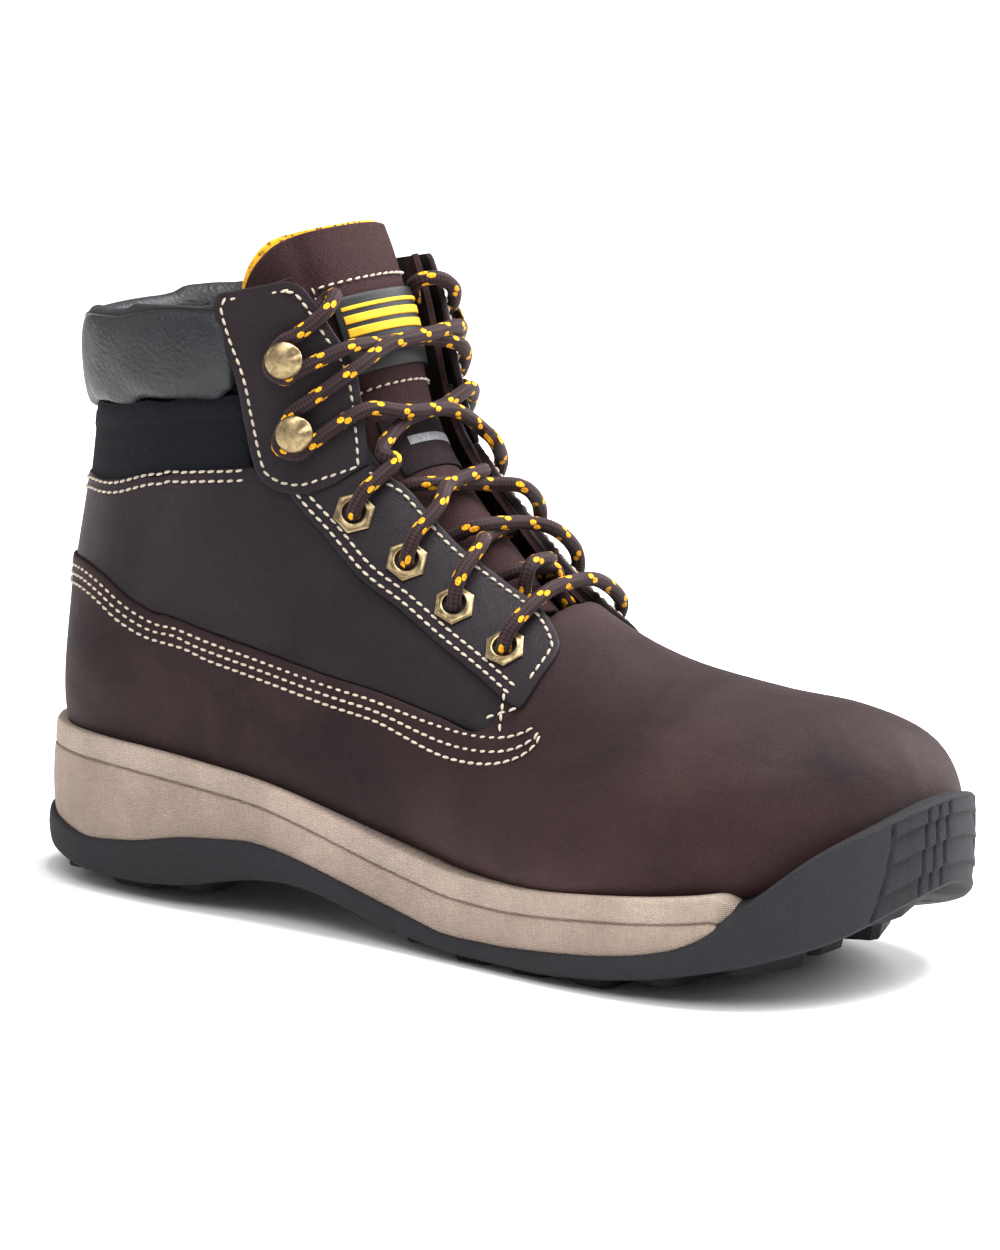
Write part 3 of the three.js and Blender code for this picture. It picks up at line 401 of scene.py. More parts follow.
class Paint:
    """Builds the nodes of one procedural material."""

    def __init__(self, name, roughness=0.7, metallic=0.0, specular=0.4, sheen=0.0, sheen_tint=(1, 1, 1)):
        self.material = bpy.data.materials.new(name)
        self.material.use_nodes = True
        self.nodes = self.material.node_tree.nodes
        self.links = self.material.node_tree.links
        self.shader = self.nodes["Principled BSDF"]
        self.set("Roughness", roughness)
        self.set("Metallic", metallic)
        self.set("Specular IOR Level", specular)
        if sheen:
            self.set("Sheen Weight", sheen)
            self.set("Sheen Roughness", 0.45)
            self.set("Sheen Tint", (*sheen_tint, 1))
        self.where = self.node("TexCoord").outputs["Object"]

    def node(self, kind, inputs=None, **settings):
        made = self.nodes.new("ShaderNode" + kind)
        for key, value in settings.items():
            setattr(made, key, value)
        for key, value in (inputs or {}).items():
            self.feed(made.inputs[key], value)
        return made

    def feed(self, socket, value):
        if isinstance(value, bpy.types.NodeSocket):
            self.links.new(value, socket)
        else:
            socket.default_value = value

    def set(self, name, value):
        self.feed(self.shader.inputs[name], value)

    def noise(self, scale, detail=4.0, roughness=0.55, distortion=0.0):
        inputs = {"Vector": self.where, "Scale": scale, "Detail": detail,
                  "Roughness": roughness, "Distortion": distortion}
        return self.node("TexNoise", inputs).outputs["Fac"]

    def cells(self, scale, feature="F1"):
        made = self.node("TexVoronoi", {"Vector": self.where, "Scale": scale}, feature=feature)
        return made.outputs["Distance"]

    def math(self, operation, a, b=0.0, *more):
        return self.node("Math", dict(enumerate((a, b, *more))), operation=operation).outputs[0]

    def add(self, a, b):
        return self.math("ADD", a, b)

    def minus(self, a, b):
        return self.math("SUBTRACT", a, b)

    def times(self, a, b):
        return self.math("MULTIPLY", a, b)

    def sine(self, value, factor):
        return self.math("SINE", self.times(value, factor))

    def ramp(self, factor, low, high, to_low=0.0, to_high=1.0):
        inputs = {"Value": factor, "From Min": low, "From Max": high, "To Min": to_low, "To Max": to_high}
        return self.node("MapRange", inputs).outputs["Result"]

    def blend(self, factor, a, b, kind="MIX"):
        made = self.node("Mix", data_type="RGBA", blend_type=kind)
        self.feed(made.inputs[0], factor)
        for index, value in ((6, a), (7, b)):
            self.feed(made.inputs[index], (*value, 1) if isinstance(value, tuple) else value)
        return made.outputs[2]

    def dimmed(self, color, value):
        """The colour multiplied by a value."""
        grey = self.node("CombineXYZ", {0: value, 1: value, 2: value}).outputs[0]
        return self.blend(1.0, color, grey, "MULTIPLY")

    def bump(self, height, depth, strength=1.0, base=None):
        """depth is the height of the relief in metres."""
        made = self.node("Bump", {"Height": height, "Strength": strength, "Distance": depth})
        if base is not None:
            self.feed(made.inputs["Normal"], base)
        return made.outputs["Normal"]

    def axes(self, source=None):
        return self.node("SeparateXYZ", {0: source or self.where}).outputs[:3]

    def finished(self, color, relief, roughness=None):
        """The material, with its colour and relief wired up."""
        self.set("Base Color", color)
        self.set("Normal", relief)
        if roughness is not None:
            self.set("Roughness", roughness)
        return self.material


def scaled(color, share):
    return tuple(share * k for k in color)


def nubuck(name, dark, light, painted_highlight, rough=(0.58, 0.78), patches=22):
    """Waxed nubuck: clouds of light and dark where the nap lies differently, fine pores, faint scuffs, and
    warm patches of painted highlight.
    """
    p = Paint(name, specular=0.24, sheen=0.05, sheen_tint=(0.9, 0.65, 0.6))
    clouds = p.ramp(p.noise(patches, 5, 0.62, 0.6), 0.32, 0.68)
    # Warm lighter patches at random places, blended in as a painted highlight.
    highlight_patches = p.ramp(p.noise(9, 3, 0.5), 0.5, 0.75, 0, 0.6)
    color = p.blend(highlight_patches, p.blend(clouds, dark, light), painted_highlight)
    nap = p.ramp(p.noise(900, 3, 0.7), 0.3, 0.7, 0.82, 1.16)
    pores = p.ramp(p.cells(1500), 0.1, 0.5, 0.72, 1.05)
    scuff = p.ramp(p.noise(60, 8, 0.75, 1.4), 0.62, 0.8, 0, 0.35)
    color = p.blend(scuff, p.dimmed(color, p.times(nap, pores)), scaled(light, 1.9))
    fine = p.bump(p.add(p.noise(1700, 4, 0.7), p.ramp(p.cells(1500), 0, 0.4)), 0.00012)
    relief = p.bump(p.noise(130, 4, 0.6), 0.00035, 0.6, fine)
    return p.finished(color, relief, p.ramp(clouds, 0, 1, rough[1], rough[0]))


def raw_edge(name, color):
    """Cut leather, seen from its edge."""
    p = Paint(name, roughness=0.9, specular=0.2)
    fibres = p.ramp(p.noise(1500, 5, 0.7), 0.3, 0.7)
    return p.finished(p.blend(fibres, color, scaled(color, 1.8)), p.bump(fibres, 0.0002))


def suede(name, dark, light):
    p = Paint(name, roughness=0.95, specular=0.1, sheen=0.22, sheen_tint=(0.75, 0.5, 0.5))
    brushed = p.ramp(p.noise(70, 6, 0.7, 1.0), 0.35, 0.66)
    fibre = p.ramp(p.noise(1900, 4, 0.8), 0.32, 0.68)
    color = p.blend(p.ramp(fibre, 0, 1, 0, 0.85), p.blend(brushed, dark, light), scaled(light, 2.6))
    dots = p.ramp(p.cells(1300), 0.05, 0.35, 0.5, 1.0)
    return p.finished(p.dimmed(color, dots), p.bump(p.add(fibre, p.noise(650, 5, 0.75)), 0.0005))


def collar_leather(name, dark, light):
    """Smooth leather with a pebbled grain."""
    p = Paint(name, specular=0.42)
    shade = p.ramp(p.noise(40, 4, 0.6), 0.35, 0.65)
    pebble = p.bump(p.ramp(p.cells(900, "SMOOTH_F1"), 0, 0.7), 0.00014)
    crease = p.bump(p.noise(170, 5, 0.65, 0.8), 0.0003, 0.7, pebble)
    return p.finished(p.blend(shade, dark, light), crease, p.ramp(p.noise(55, 3, 0.5), 0.3, 0.7, 0.36, 0.52))


def twill(name, dark, light, pitch, slope=0.75):
    """Woven tape: diagonal ribs broken by the weft."""
    p = Paint(name, roughness=0.85, specular=0.2, sheen=0.04)
    x, y, z = p.axes()
    flat = p.minus(x, p.times(y, 0.7))
    ribs = p.sine(p.add(z, p.times(flat, slope)), math.tau / pitch)
    weft = p.sine(z, math.tau / (pitch * 0.62))
    weave = p.math("MULTIPLY_ADD", ribs, 0.7, p.times(weft, 0.3))
    lit = p.ramp(p.add(weave, p.times(p.noise(800, 2), 0.6)), -0.6, 1.2)
    return p.finished(p.blend(lit, dark, light), p.bump(weave, 0.00025))


def mesh_fabric(name, dark, light, size, depth=0.0004):
    """Knitted spacer mesh with rows of small holes."""
    p = Paint(name, roughness=0.9, specular=0.25, sheen=0.3)
    holes = p.ramp(p.cells(1 / size, "SMOOTH_F1"), 0.12, 0.42)
    threads = p.ramp(p.noise(2400, 3, 0.7), 0.3, 0.7, 0.8, 1.1)
    return p.finished(p.dimmed(p.blend(holes, dark, light), threads), p.bump(holes, depth))


def knurled(name, dark, light, pitch=0.0011):
    """Moulded foam with a fine knurl: rows of small pips, with painted shade in their hollows and painted
    highlight on their crowns.
    """
    p = Paint(name, specular=0.3)
    x, y, z = p.axes()
    along = p.add(x, p.times(y, 0.6))
    pips = p.times(p.sine(p.add(along, z), math.tau / pitch), p.sine(p.minus(along, z), math.tau / pitch))
    mottle = p.noise(45, 4, 0.6)
    grime = p.ramp(p.noise(700, 4, 0.75), 0.3, 0.7, 0.9, 1.06)
    color = p.blend(p.ramp(mottle, 0.3, 0.7), dark, light)
    # Fine random grime, and the pips' hollows darkened and crowns lightened: painted shade and highlight.
    color = p.dimmed(color, p.times(grime, p.ramp(pips, -1, 1, 0.86, 1.05)))
    return p.finished(color, p.bump(pips, 0.00018), p.ramp(mottle, 0.3, 0.7, 0.6, 0.74))


def sanded_rubber(name, dark, light):
    p = Paint(name, specular=0.35)
    dust = p.noise(35, 5, 0.65)
    specks = p.ramp(p.noise(1500, 3, 0.8), 0.35, 0.7)
    color = p.blend(p.ramp(dust, 0.35, 0.7), dark, light)
    color = p.blend(p.ramp(specks, 0, 1, 0, 0.4), color, scaled(light, 1.9))
    relief = p.bump(p.add(specks, p.noise(700, 4, 0.7)), 0.00022)
    return p.finished(color, relief, p.ramp(dust, 0.3, 0.7, 0.62, 0.8))


def brass(name, dull, bright):
    """Antique brass: tarnished in patches, with brushed hairlines."""
    p = Paint(name, metallic=1.0)
    stain = p.ramp(p.noise(420, 6, 0.7, 0.5), 0.36, 0.64)
    roughness = p.ramp(p.noise(600, 5, 0.7), 0.3, 0.7, 0.28, 0.5)
    return p.finished(p.blend(stain, dull, bright), p.bump(p.noise(1600, 4, 0.7), 0.00005), roughness)


def thread(name, dark, light, pitch=0.0006):
    """Twisted thread."""
    p = Paint(name, roughness=0.75, specular=0.3, sheen=0.3)
    x, y, z = p.axes()
    ply = p.sine(p.add(p.add(x, y), p.times(z, 1.4)), math.tau / pitch)
    lit = p.ramp(p.add(ply, p.noise(900, 2)), -0.6, 1.6)
    return p.finished(p.blend(lit, dark, light), p.bump(ply, 0.0001))


def rubber(name, dark, light, rough=0.5):
    p = Paint(name, specular=0.45)
    tone = p.ramp(p.noise(300, 4, 0.6), 0.3, 0.7)
    relief = p.bump(p.noise(2200, 3, 0.6), 0.00005)
    return p.finished(p.blend(tone, dark, light), relief, p.ramp(tone, 0, 1, rough, rough + 0.12))


def board(name, dark, light):
    p = Paint(name, roughness=0.9, specular=0.2)
    fibre = p.ramp(p.noise(500, 6, 0.75, 1.5), 0.3, 0.7)
    return p.finished(p.blend(fibre, dark, light), p.bump(fibre, 0.0003))


def braid(name, strands=8, period=10.5):
    """Braided cord read from the weave coordinates: u runs along in mm / 100, v once round. Two flecks of
    yellow show in every period, in mm, each time turned a little further round."""
    p = Paint(name, roughness=0.7, specular=0.25, sheen=0.08, sheen_tint=(0.9, 0.7, 0.65))
    u, turns = p.axes(p.node("UVMap", uv_map="weave").outputs[0])[:2]
    along = p.times(u, 100)
    one = p.sine(p.add(p.times(turns, strands), along), math.pi)
    two = p.sine(p.minus(p.times(turns, strands), along), math.pi)
    lit = p.ramp(p.times(one, two), -1, 1)
    shade = p.ramp(p.noise(60, 3), 0.3, 0.7)
    brown = p.blend(shade, (0.036, 0.0165, 0.0180), (0.062, 0.030, 0.032))
    yellow = p.blend(lit, (0.50, 0.20, 0.004), (0.90, 0.47, 0.014))
    number = p.math("FLOOR", p.math("DIVIDE", along, period))
    local = p.minus(along, p.times(number, period))
    round_at = p.add(p.times(turns, 3), p.times(number, 0.37))
    round_at = p.math("FRACT", p.add(round_at, 50.0))

    def dash(centre, at):
        one_way = p.math("DIVIDE", p.minus(local, centre), 1.15)
        other = p.math("DIVIDE", p.minus(round_at, at), 0.19)
        return p.math("LESS_THAN", p.add(p.times(one_way, one_way), p.times(other, other)), 1.0)

    fleck = p.math("MAXIMUM", dash(3.0, 0.34), dash(4.7, 0.66))
    color = p.blend(fleck, p.blend(lit, (0.004, 0.0018, 0.0020), brown), yellow)
    return p.finished(color, p.bump(p.noise(2200, 3, 0.7), 0.00012))


# The third colour of each nubuck is the tint of its painted highlight.
VAMP_SKIN = nubuck("vamp_nubuck", (0.0130, 0.0058, 0.0068), (0.029, 0.0125, 0.0135), (0.056, 0.024, 0.0220))
QUARTER_SKIN = nubuck("quarter_leather", (0.0080, 0.0056, 0.0082), (0.0150, 0.0098, 0.0140),
                      (0.027, 0.0140, 0.0160), rough=(0.44, 0.66), patches=26)
EDGE = raw_edge("cut_edge", (0.0160, 0.0085, 0.0085))
SUEDE = suede("suede", (0.0135, 0.0062, 0.0068), (0.030, 0.0140, 0.0150))
COLLAR_SKIN = collar_leather("collar_leather", (0.0120, 0.0128, 0.0150), (0.0225, 0.0238, 0.0270))
PIPING = collar_leather("piping_leather", (0.0030, 0.0030, 0.0034), (0.0070, 0.0070, 0.0076))
STRIP = collar_leather("strip_leather", (0.0035, 0.0035, 0.0044), (0.0075, 0.0075, 0.0088))
WEBBING = twill("webbing", (0.0010, 0.0013, 0.0030), (0.0060, 0.0075, 0.0135), pitch=0.00085)
LINING = mesh_fabric("lining_fabric", (0.006, 0.006, 0.007), (0.035, 0.036, 0.040), size=0.0018)
YELLOW_MESH = mesh_fabric("tongue_mesh", (0.16, 0.07, 0.004), (0.83, 0.43, 0.03), size=0.0016, depth=0.0005)
FOAM = knurled("midsole_foam", (0.34, 0.262, 0.215), (0.46, 0.362, 0.305))
# A lighter copy of the midsole foam for the band above the groove: painted light on the upper band.
LIP_FOAM_PAINTED_LIGHT = knurled("midsole_lip_painted_light", (0.40, 0.318, 0.265), (0.51, 0.415, 0.350))
RUBBER = sanded_rubber("outsole_rubber", (0.0085, 0.0080, 0.0105), (0.0210, 0.0198, 0.0245))
BRASS = brass("antique_brass", (0.20, 0.150, 0.082), (0.40, 0.315, 0.185))
THREAD = thread("stitch_thread", (0.42, 0.34, 0.25), (0.86, 0.76, 0.63))
LABEL = rubber("label_rubber", (0.007, 0.007, 0.008), (0.014, 0.014, 0.016))
LABEL_YELLOW = rubber("label_accent", (0.62, 0.34, 0.01), (0.74, 0.44, 0.02), rough=0.6)
WOVEN = suede("woven_black", (0.0015, 0.0018, 0.0032), (0.0045, 0.0055, 0.0085))
WOVEN_LIGHT = suede("woven_light", (0.20, 0.22, 0.24), (0.34, 0.36, 0.39))
BOARD = board("insole_board", (0.22, 0.17, 0.10), (0.40, 0.33, 0.22))
FOOTBED = mesh_fabric("footbed_fabric", (0.012, 0.012, 0.014), (0.045, 0.045, 0.05), size=0.0022)
STEEL = brass("toe_steel", (0.30, 0.31, 0.33), (0.62, 0.63, 0.65))
CORD = braid("lace_cord")


# ---------- pieces of the upper ----------

def wander(points, size, reach, seed, waves=7):
    """A slow, repeatable wave over points, in mm, that keeps a surface from looking drawn."""
    rng = np.random.default_rng(seed)
    total = np.zeros(points.shape[:-1])
    for _ in range(waves):
        direction = rng.normal(size=3)
        direction *= math.tau / (size * rng.uniform(0.6, 1.7) * np.linalg.norm(direction))
        total += np.sin(points @ direction + rng.uniform(0, math.tau))
    return total * reach / waves


def quarter_low(turn):
    """Rib of the vamp's upper edge, which covers the quarter's lower edge."""
    front_rib, front_turn = VAMP_TOP[4]
    path = curve(VAMP_TOP[4:], 300)
    return np.where(turn < front_turn, front_rib, np.interp(turn, path[:, 1], path[:, 0]))


def build_vamp():
    """The leather round the foot, under whose raised upper edge the quarters are sewn."""
    def layer(rib, turn, s, t):
        lift = 0.55 * (1 - smooth((t - 0.02) / 0.1)) * smooth((np.abs(turn) - 0.31) / 0.02)
        crease = wander(surface(rib, turn), 55, 0.55, 3) * smooth((rib - 3) / 2)
        return -1.7, 0.1 + lift + crease
    sheet_piece("vamp_leather", round_boot(VAMP_TOP, VAMP_BOTTOM), (600, 90), (420, 44), layer,
                [VAMP_SKIN, EDGE], ring=True, radius=0.7, slot="vamp_leather", node="vamp")


def build_lining():
    def layer(rib, turn, s, t):
        drop = 1.9 * (1 - smooth((rib - 3.4) / 1.2))
        return -6.3 - drop, -4.9 - drop
    sheet_piece("shaft_lining", round_boot(LINING_TOP, VAMP_BOTTOM), (600, 100), (240, 30), layer, LINING,
                ring=True, slot="lining_fabric", node="lining")


def quarter_where(s, t):
    front, back = 0.105, 0.955
    turn = mix(front, back, s)
    rib = mix(quarter_low(turn) - 0.3, table(QUARTER_TOP, turn), t)
    return rib, mix(table(FACING_EDGE, rib), back, s)


def build_quarter(side, label):
    def layer(rib, turn, s, t):
        tuck = 1 - smooth((rib - quarter_low(np.abs(turn)) + 0.12) / 0.16)
        tuck *= np.abs(turn) > 0.3
        crease = wander(surface(rib, turn), 48, 0.5, 11) * smooth(s * 6) * smooth((1 - s) * 6)
        outer = -0.35 - 1.4 * tuck + crease * (1 - tuck)
        return np.minimum(outer - 1.1, -1.6), outer
    sheet_piece("quarter_leather_" + label, sided(quarter_where, side), (150, 60), (90, 44), layer,
                [QUARTER_SKIN, EDGE], slot="quarter_leather", node="quarter_" + label)


def build_stay(side, label):
    where = between_edges(STAY_FRONT, STAY_BACK)
    sheet_piece("eyelet_stay_leather_" + label, sided(where, side), (22, 70), (24, 60),
                layer_of(-0.4, STAY_OUT), [QUARTER_SKIN, EDGE], radius=0.7, slot="quarter_leather",
                node="eyelet_stay_" + label)


def build_flap(side, label):
    def layer(rib, turn, s, t):
        lift = 0.5 * smooth((rib - 9.6) / 0.5)
        free = smooth((rib - 11.33) / 0.4) * smooth((s - 0.2) / 0.3)
        wave = wander(surface(rib, turn), 40, 0.4, 23)
        return mix(1.0, -1.2, free), 2.2 + lift + wave
    where = between_edges(FLAP_FRONT, FLAP_BACK)
    sheet_piece("hook_flap_leather_" + label, sided(where, side), (38, 85), (36, 72), layer,
                [QUARTER_SKIN, EDGE], slot="quarter_leather", node="hook_flap_" + label)


def build_facing(side, label):
    def where(s, t):
        rib = mix(6.6, 14.42, t)
        return rib, mix(table(FACING_EDGE, rib) + 0.001, 0.29, s)
    sheet_piece("facing_suede_" + label, sided(where, side), (24, 140), (20, 90), layer_of(-3.3, -1.5), SUEDE,
                radius=0.6, slot="suede", node="facing_lining_" + label)


def round_back(rows, turn):
    """A table by turn, read past the back of the boot as well."""
    return table(rows, np.where(turn > 1, 2 - turn, turn))


def build_band():
    def where(s, t):
        turn = mix(0.345, 1.655, s)
        low = round_back(QUARTER_TOP, turn) - 0.25
        return mix(low, round_back(COLLAR_BOTTOM, turn) + 0.12, t), turn

    def layer(rib, turn, s, t):
        hem = 0.35 * smooth((t - 0.72) / 0.04) * (1 - smooth((t - 0.9) / 0.06))
        return -2.4, -1.0 + hem + wander(surface(rib, turn), 30, 0.25, 5)
    sheet_piece("collar_webbing", where, (200, 26), (150, 40), layer, WEBBING, radius=0.4, slot="webbing",
                node="collar_band")


def collar_section(turn, count):
    """Rings of count points round the padded collar's section, one ring for each turn."""
    low = round_back(COLLAR_BOTTOM, turn)[:, None] - 0.02
    high = round_back(COLLAR_TOP, turn)[:, None]
    angle = np.arange(count) / count * math.tau
    up, out = np.sin(angle), np.cos(angle)
    up = np.sign(up) * np.abs(up) ** 0.75
    out = np.where(out > 0, 5.0, 5.6) * np.sign(out) * np.abs(out) ** 0.8
    rib = mix(low, high, 0.5 + 0.5 * up)
    turns = np.broadcast_to(turn[:, None], rib.shape)
    return place(rib, turns, -1.2 + np.broadcast_to(out, rib.shape))


def capped_roll(rows):
    """Points and faces of a closed roll through rings of points."""
    count, around = rows.shape[:2]
    points = np.concatenate([rows.reshape(-1, 3), rows[0].mean(0)[None], rows[-1].mean(0)[None]])
    faces = grid_faces(count, around, close_columns=True)
    hub = count * around
    last = (count - 1) * around
    for k in range(around):
        n = (k + 1) % around
        faces.append((hub, n, k))
        faces.append((hub + 1, last + k, last + n))
    return points, oriented(points, faces)


def puffed(obj, pressure, cap, voxel=0.0045, frames=20):
    """Blows a padded piece up with a short cloth simulation; no place moves further than cap, in metres."""
    remesh = obj.modifiers.new("Remesh", "REMESH")
    remesh.mode = "VOXEL"
    remesh.voxel_size = voxel
    apply_modifiers(obj)
    before = np.array([v.co for v in obj.data.vertices])
    cloth = obj.modifiers.new("Cloth", "CLOTH")
    cloth.settings.use_pressure = True
    cloth.settings.uniform_pressure_force = pressure
    cloth.settings.effector_weights.gravity = 0
    cloth.settings.quality = 6
    cloth.settings.mass = 0.3
    cloth.point_cache.frame_start = 1
    cloth.point_cache.frame_end = frames
    for step in range(1, frames + 1):
        bpy.context.scene.frame_set(step)
    apply_modifiers(obj)
    bpy.context.scene.frame_set(1)
    move = np.array([v.co for v in obj.data.vertices]) - before
    far = np.linalg.norm(move, axis=1, keepdims=True)
    after = before + move * np.minimum(1, cap / np.maximum(far, 1e-9))
    obj.data.vertices.foreach_set("co", after.astype(np.float32).ravel())
    smoother = obj.modifiers.new("Smooth", "CORRECTIVE_SMOOTH")
    smoother.factor = 0.5
    smoother.iterations = 4
    smoother.use_only_smooth = True
    obj.modifiers.new("Subdivision", "SUBSURF").levels = 1
    apply_modifiers(obj)
    for polygon in obj.data.polygons:
        polygon.use_smooth = True


def apply_modifiers(obj):
    bpy.context.view_layer.update()
    shape = obj.evaluated_get(bpy.context.evaluated_depsgraph_get())
    mesh = bpy.data.meshes.new_from_object(shape)
    old = obj.data
    obj.modifiers.clear()
    obj.data = mesh
    bpy.data.meshes.remove(old)


def build_collar():
    turn = np.linspace(0.35, 1.65, 150)
    rows = collar_section(turn, 36)
    ends = 1 - 0.35 * (smooth((0.37 - turn) / 0.02) + smooth((turn - 1.63) / 0.02))
    middle = rows.mean(1, keepdims=True)
    points, faces = capped_roll(middle + (rows - middle) * ends[:, None, None])
    collar = mesh_piece("collar_cushion", points, faces, COLLAR_SKIN, slot="collar_leather",
                        node="collar_pad", sharp=0)
    puffed(collar, 3.0, 0.0016)
    build_piping(collar)


def blurred(points, weights):
    """Points smoothed along their line by an odd number of weights, as if the ends went on standing still."""
    reach = len(weights) // 2
    padded = np.pad(points, ((reach, reach), (0, 0)), mode="edge")
    return np.stack([np.convolve(column, weights / weights.sum(), mode="valid") for column in padded.T], -1)


def build_piping(collar, sunk=0.25):
    """Thin piping sunk in the seam round the top of the collar's outer face."""
    section = collar_section(np.linspace(0.37, 1.63, 260), 4)
    middle = section.mean(1)
    towards = section[:, 1] - middle + 0.75 * (section[:, 0] - middle)
    towards /= np.linalg.norm(towards, axis=1, keepdims=True)
    tree = BVHTree.FromObject(collar, bpy.context.evaluated_depsgraph_get())
    back = collar.matrix_world.inverted()
    seam = []
    for start, way in zip(middle, towards):
        origin = back @ Vector((start - CENTRE) * MM)
        hit = tree.ray_cast(origin, back.to_3x3() @ Vector(way), 0.03)[0]
        if hit is not None:
            seam.append(np.array(collar.matrix_world @ hit) / MM + CENTRE - sunk * way)
    points, faces = capped_roll(cord_rows(blurred(np.array(seam), np.ones(9)), 0.75, 10))
    mesh_piece("collar_piping", points, faces, PIPING, slot="strip_leather", sharp=0)


def frames_along(points):
    """Two cross directions that turn as little as possible along a line."""
    tangent = np.gradient(points, axis=0)
    tangent /= np.linalg.norm(tangent, axis=1, keepdims=True)
    across = np.zeros_like(points)
    start = np.cross(tangent[0], [0, 0, 1.0])
    across[0] = start / np.linalg.norm(start)
    for k in range(1, len(points)):
        a = across[k - 1] - tangent[k] * (across[k - 1] @ tangent[k])
        across[k] = a / np.linalg.norm(a)
    return across, np.cross(tangent, across)


def cord_rows(line, reach, around):
    """Rings of points round a line; reach is their radius, one number or one for each point."""
    a, b = frames_along(line)
    angle = np.arange(around) / around * math.tau
    reach = np.broadcast_to(reach, (len(line), around))
    ring = np.cos(angle)[:, None] * a[:, None] + np.sin(angle)[:, None] * b[:, None]
    return line[:, None] + reach[..., None] * ring


def build_back_strip():
    def where(s, t):
        return mix(10.92, 13.2, t), mix(0.945, 1.055, s)
    sheet_piece("back_strip_leather", where, (22, 110), (16, 70), layer_of(-0.5, 1.5), [STRIP, EDGE],
                radius=0.9, slot="strip_leather", node="back_strip")


# ---------- stitching ----------

def stitch_shape():
    """One stitch of unit length and width: a closed, slightly flat bead along X that dips at its ends."""
    stations = [(-0.5, 0.25), (-0.42, 0.62), (-0.22, 0.95), (0.0, 1.0),
                (0.22, 0.95), (0.42, 0.62), (0.5, 0.25)]
    angles = np.arange(7) / 7 * math.tau
    rows = []
    for x, r in stations:
        dip = 0.33 * abs(2 * x) ** 3
        rows.append([(x, 0.5 * r * math.cos(a), 0.42 * r * math.sin(a) - dip) for a in angles])
    return np.array(rows)


STITCH = stitch_shape()


def stitching(name, rows, body="boot", pitch=3.0, length=2.3, width=0.85, tilt=0.09, lift=0.12):
    """Rows of stitches as one piece. Each row is (points, normals) in mm."""
    beads = []
    for points, normals in rows:
        run = lengths(points)
        count = max(2, int(round(run[-1] / pitch)))
        at = (np.arange(count) + 0.5) * run[-1] / count
        centre, up = read_rows(at, run, points), read_rows(at, run, normals)
        up /= np.linalg.norm(up, axis=1, keepdims=True)
        ahead = read_rows(at + 0.5, run, points) - read_rows(at - 0.5, run, points)
        ahead -= up * (ahead * up).sum(1, keepdims=True)
        ahead /= np.linalg.norm(ahead, axis=1, keepdims=True)
        across = np.cross(up, ahead)
        ahead = ahead + tilt * across
        for k in range(count):
            bead = (STITCH[..., :1] * length * ahead[k] + STITCH[..., 1:2] * width * across[k]
                    + (STITCH[..., 2:] * width + lift) * up[k])
            beads.append(capped_roll(centre[k] + bead))
    points, faces = joined(beads)
    mesh_piece(name, points, faces, THREAD, body, sharp=0)


def eased(points, reach=9):
    """A line of points with small kinks smoothed away; its ends stay."""
    soft = blurred(points, np.hanning(2 * reach + 3)[1:-1])
    k = np.arange(len(points))
    return mix(points, soft, smooth(np.minimum(k, k[::-1]) / reach)[:, None])


def on_upper(path, out, side=1):
    """Points and normals along a (rib, turn) path, out mm off the upper's surface."""
    rib, turn = (np.asarray(path, float) * [1, side]).T
    return place(rib, turn, out), normal(rib, turn)


# The vamp's stitch rows: mm below its edge, and the way points of the row's front end.
VAMP_NOSES = [
    (2.6, [(6.83, 0.364), (6.35, 0.340), (5.98, 0.312), (5.80, 0.285)]),
    (5.2, [(6.78, 0.384), (6.30, 0.360), (5.94, 0.333), (5.74, 0.303), (5.73, 0.287)]),
    (7.8, [(6.73, 0.403), (6.25, 0.378), (5.93, 0.352), (5.70, 0.318), (5.68, 0.290)]),
]


def vamp_rows():
    """The triple stitching under the vamp's upper edge; its front ends turn up together."""
    edge = evenly(VAMP_TOP[6:-1][::-1] + [(7.2, 0.366)])
    return [evenly(np.concatenate([shifted(edge, gap)[::12], nose]), 300) for gap, nose in VAMP_NOSES]


def build_stitching(side, label):
    rows = [on_upper(path, 0.45, side) for path in vamp_rows()]
    rows = [(eased(points), eased(normals)) for points, normals in rows]
    turns = (0.945, 0.85, 0.75, 0.63, 0.52, 0.46, 0.42, 0.39, 0.355)
    top = evenly([(table(QUARTER_TOP, turn), turn) for turn in turns], 200)
    rows += [on_upper(shifted(top, gap), -0.25, side) for gap in (2.2, 5.0)]
    stitching("shaft_stitching_" + label, rows)
    front = evenly([(6.03, 0.225)] + STAY_FRONT[1:], 200)
    back = evenly(STAY_BACK[2:-1], 200)
    lines = [(front, -2.4), (back, 2.0), (back, 4.6)]
    rows = [on_upper(shifted(line, gap), STAY_OUT + 0.1, side) for line, gap in lines]
    flap = np.concatenate([evenly(FLAP_FRONT, 160), evenly(FLAP_BACK, 160)[::-1]])
    rows.append(on_upper(shrunk(np.concatenate([flap, flap[:1]]), 2.8), 2.75, side))
    for cross in ([(6.3, 0.262), (6.12, 0.318)], [(6.06, 0.272), (6.36, 0.312)]):
        rows.append(on_upper(evenly(cross, 20), STAY_OUT, side))
    stitching("overlay_stitching_" + label, rows)


def shrunk(ring, gap):
    """A closed (rib, turn) loop moved inwards by gap mm, without the places where it would cross itself."""
    points = surface(*ring.T)
    centre = points.mean(0)

    def size(path):
        return np.linalg.norm(surface(*path.T) - centre, axis=1).mean()
    inner = shifted(ring, gap)
    if size(inner) > size(ring):
        inner = shifted(ring, -gap)
    clear = [np.linalg.norm(points - p, axis=1).min() > 0.72 * gap for p in surface(*inner.T)]
    loop = inner[clear]
    return np.concatenate([loop, loop[:1]])


# ---------- tongue ----------

def tongue_base(rib, turn):
    """Height of the tongue's outer face against the upper's surface: it arches up in the middle."""
    middle = 1 - smooth(np.abs(turn) / 0.16)
    return -9.1 + 4.8 * middle * smooth((rib - 6.5) / 1.2)


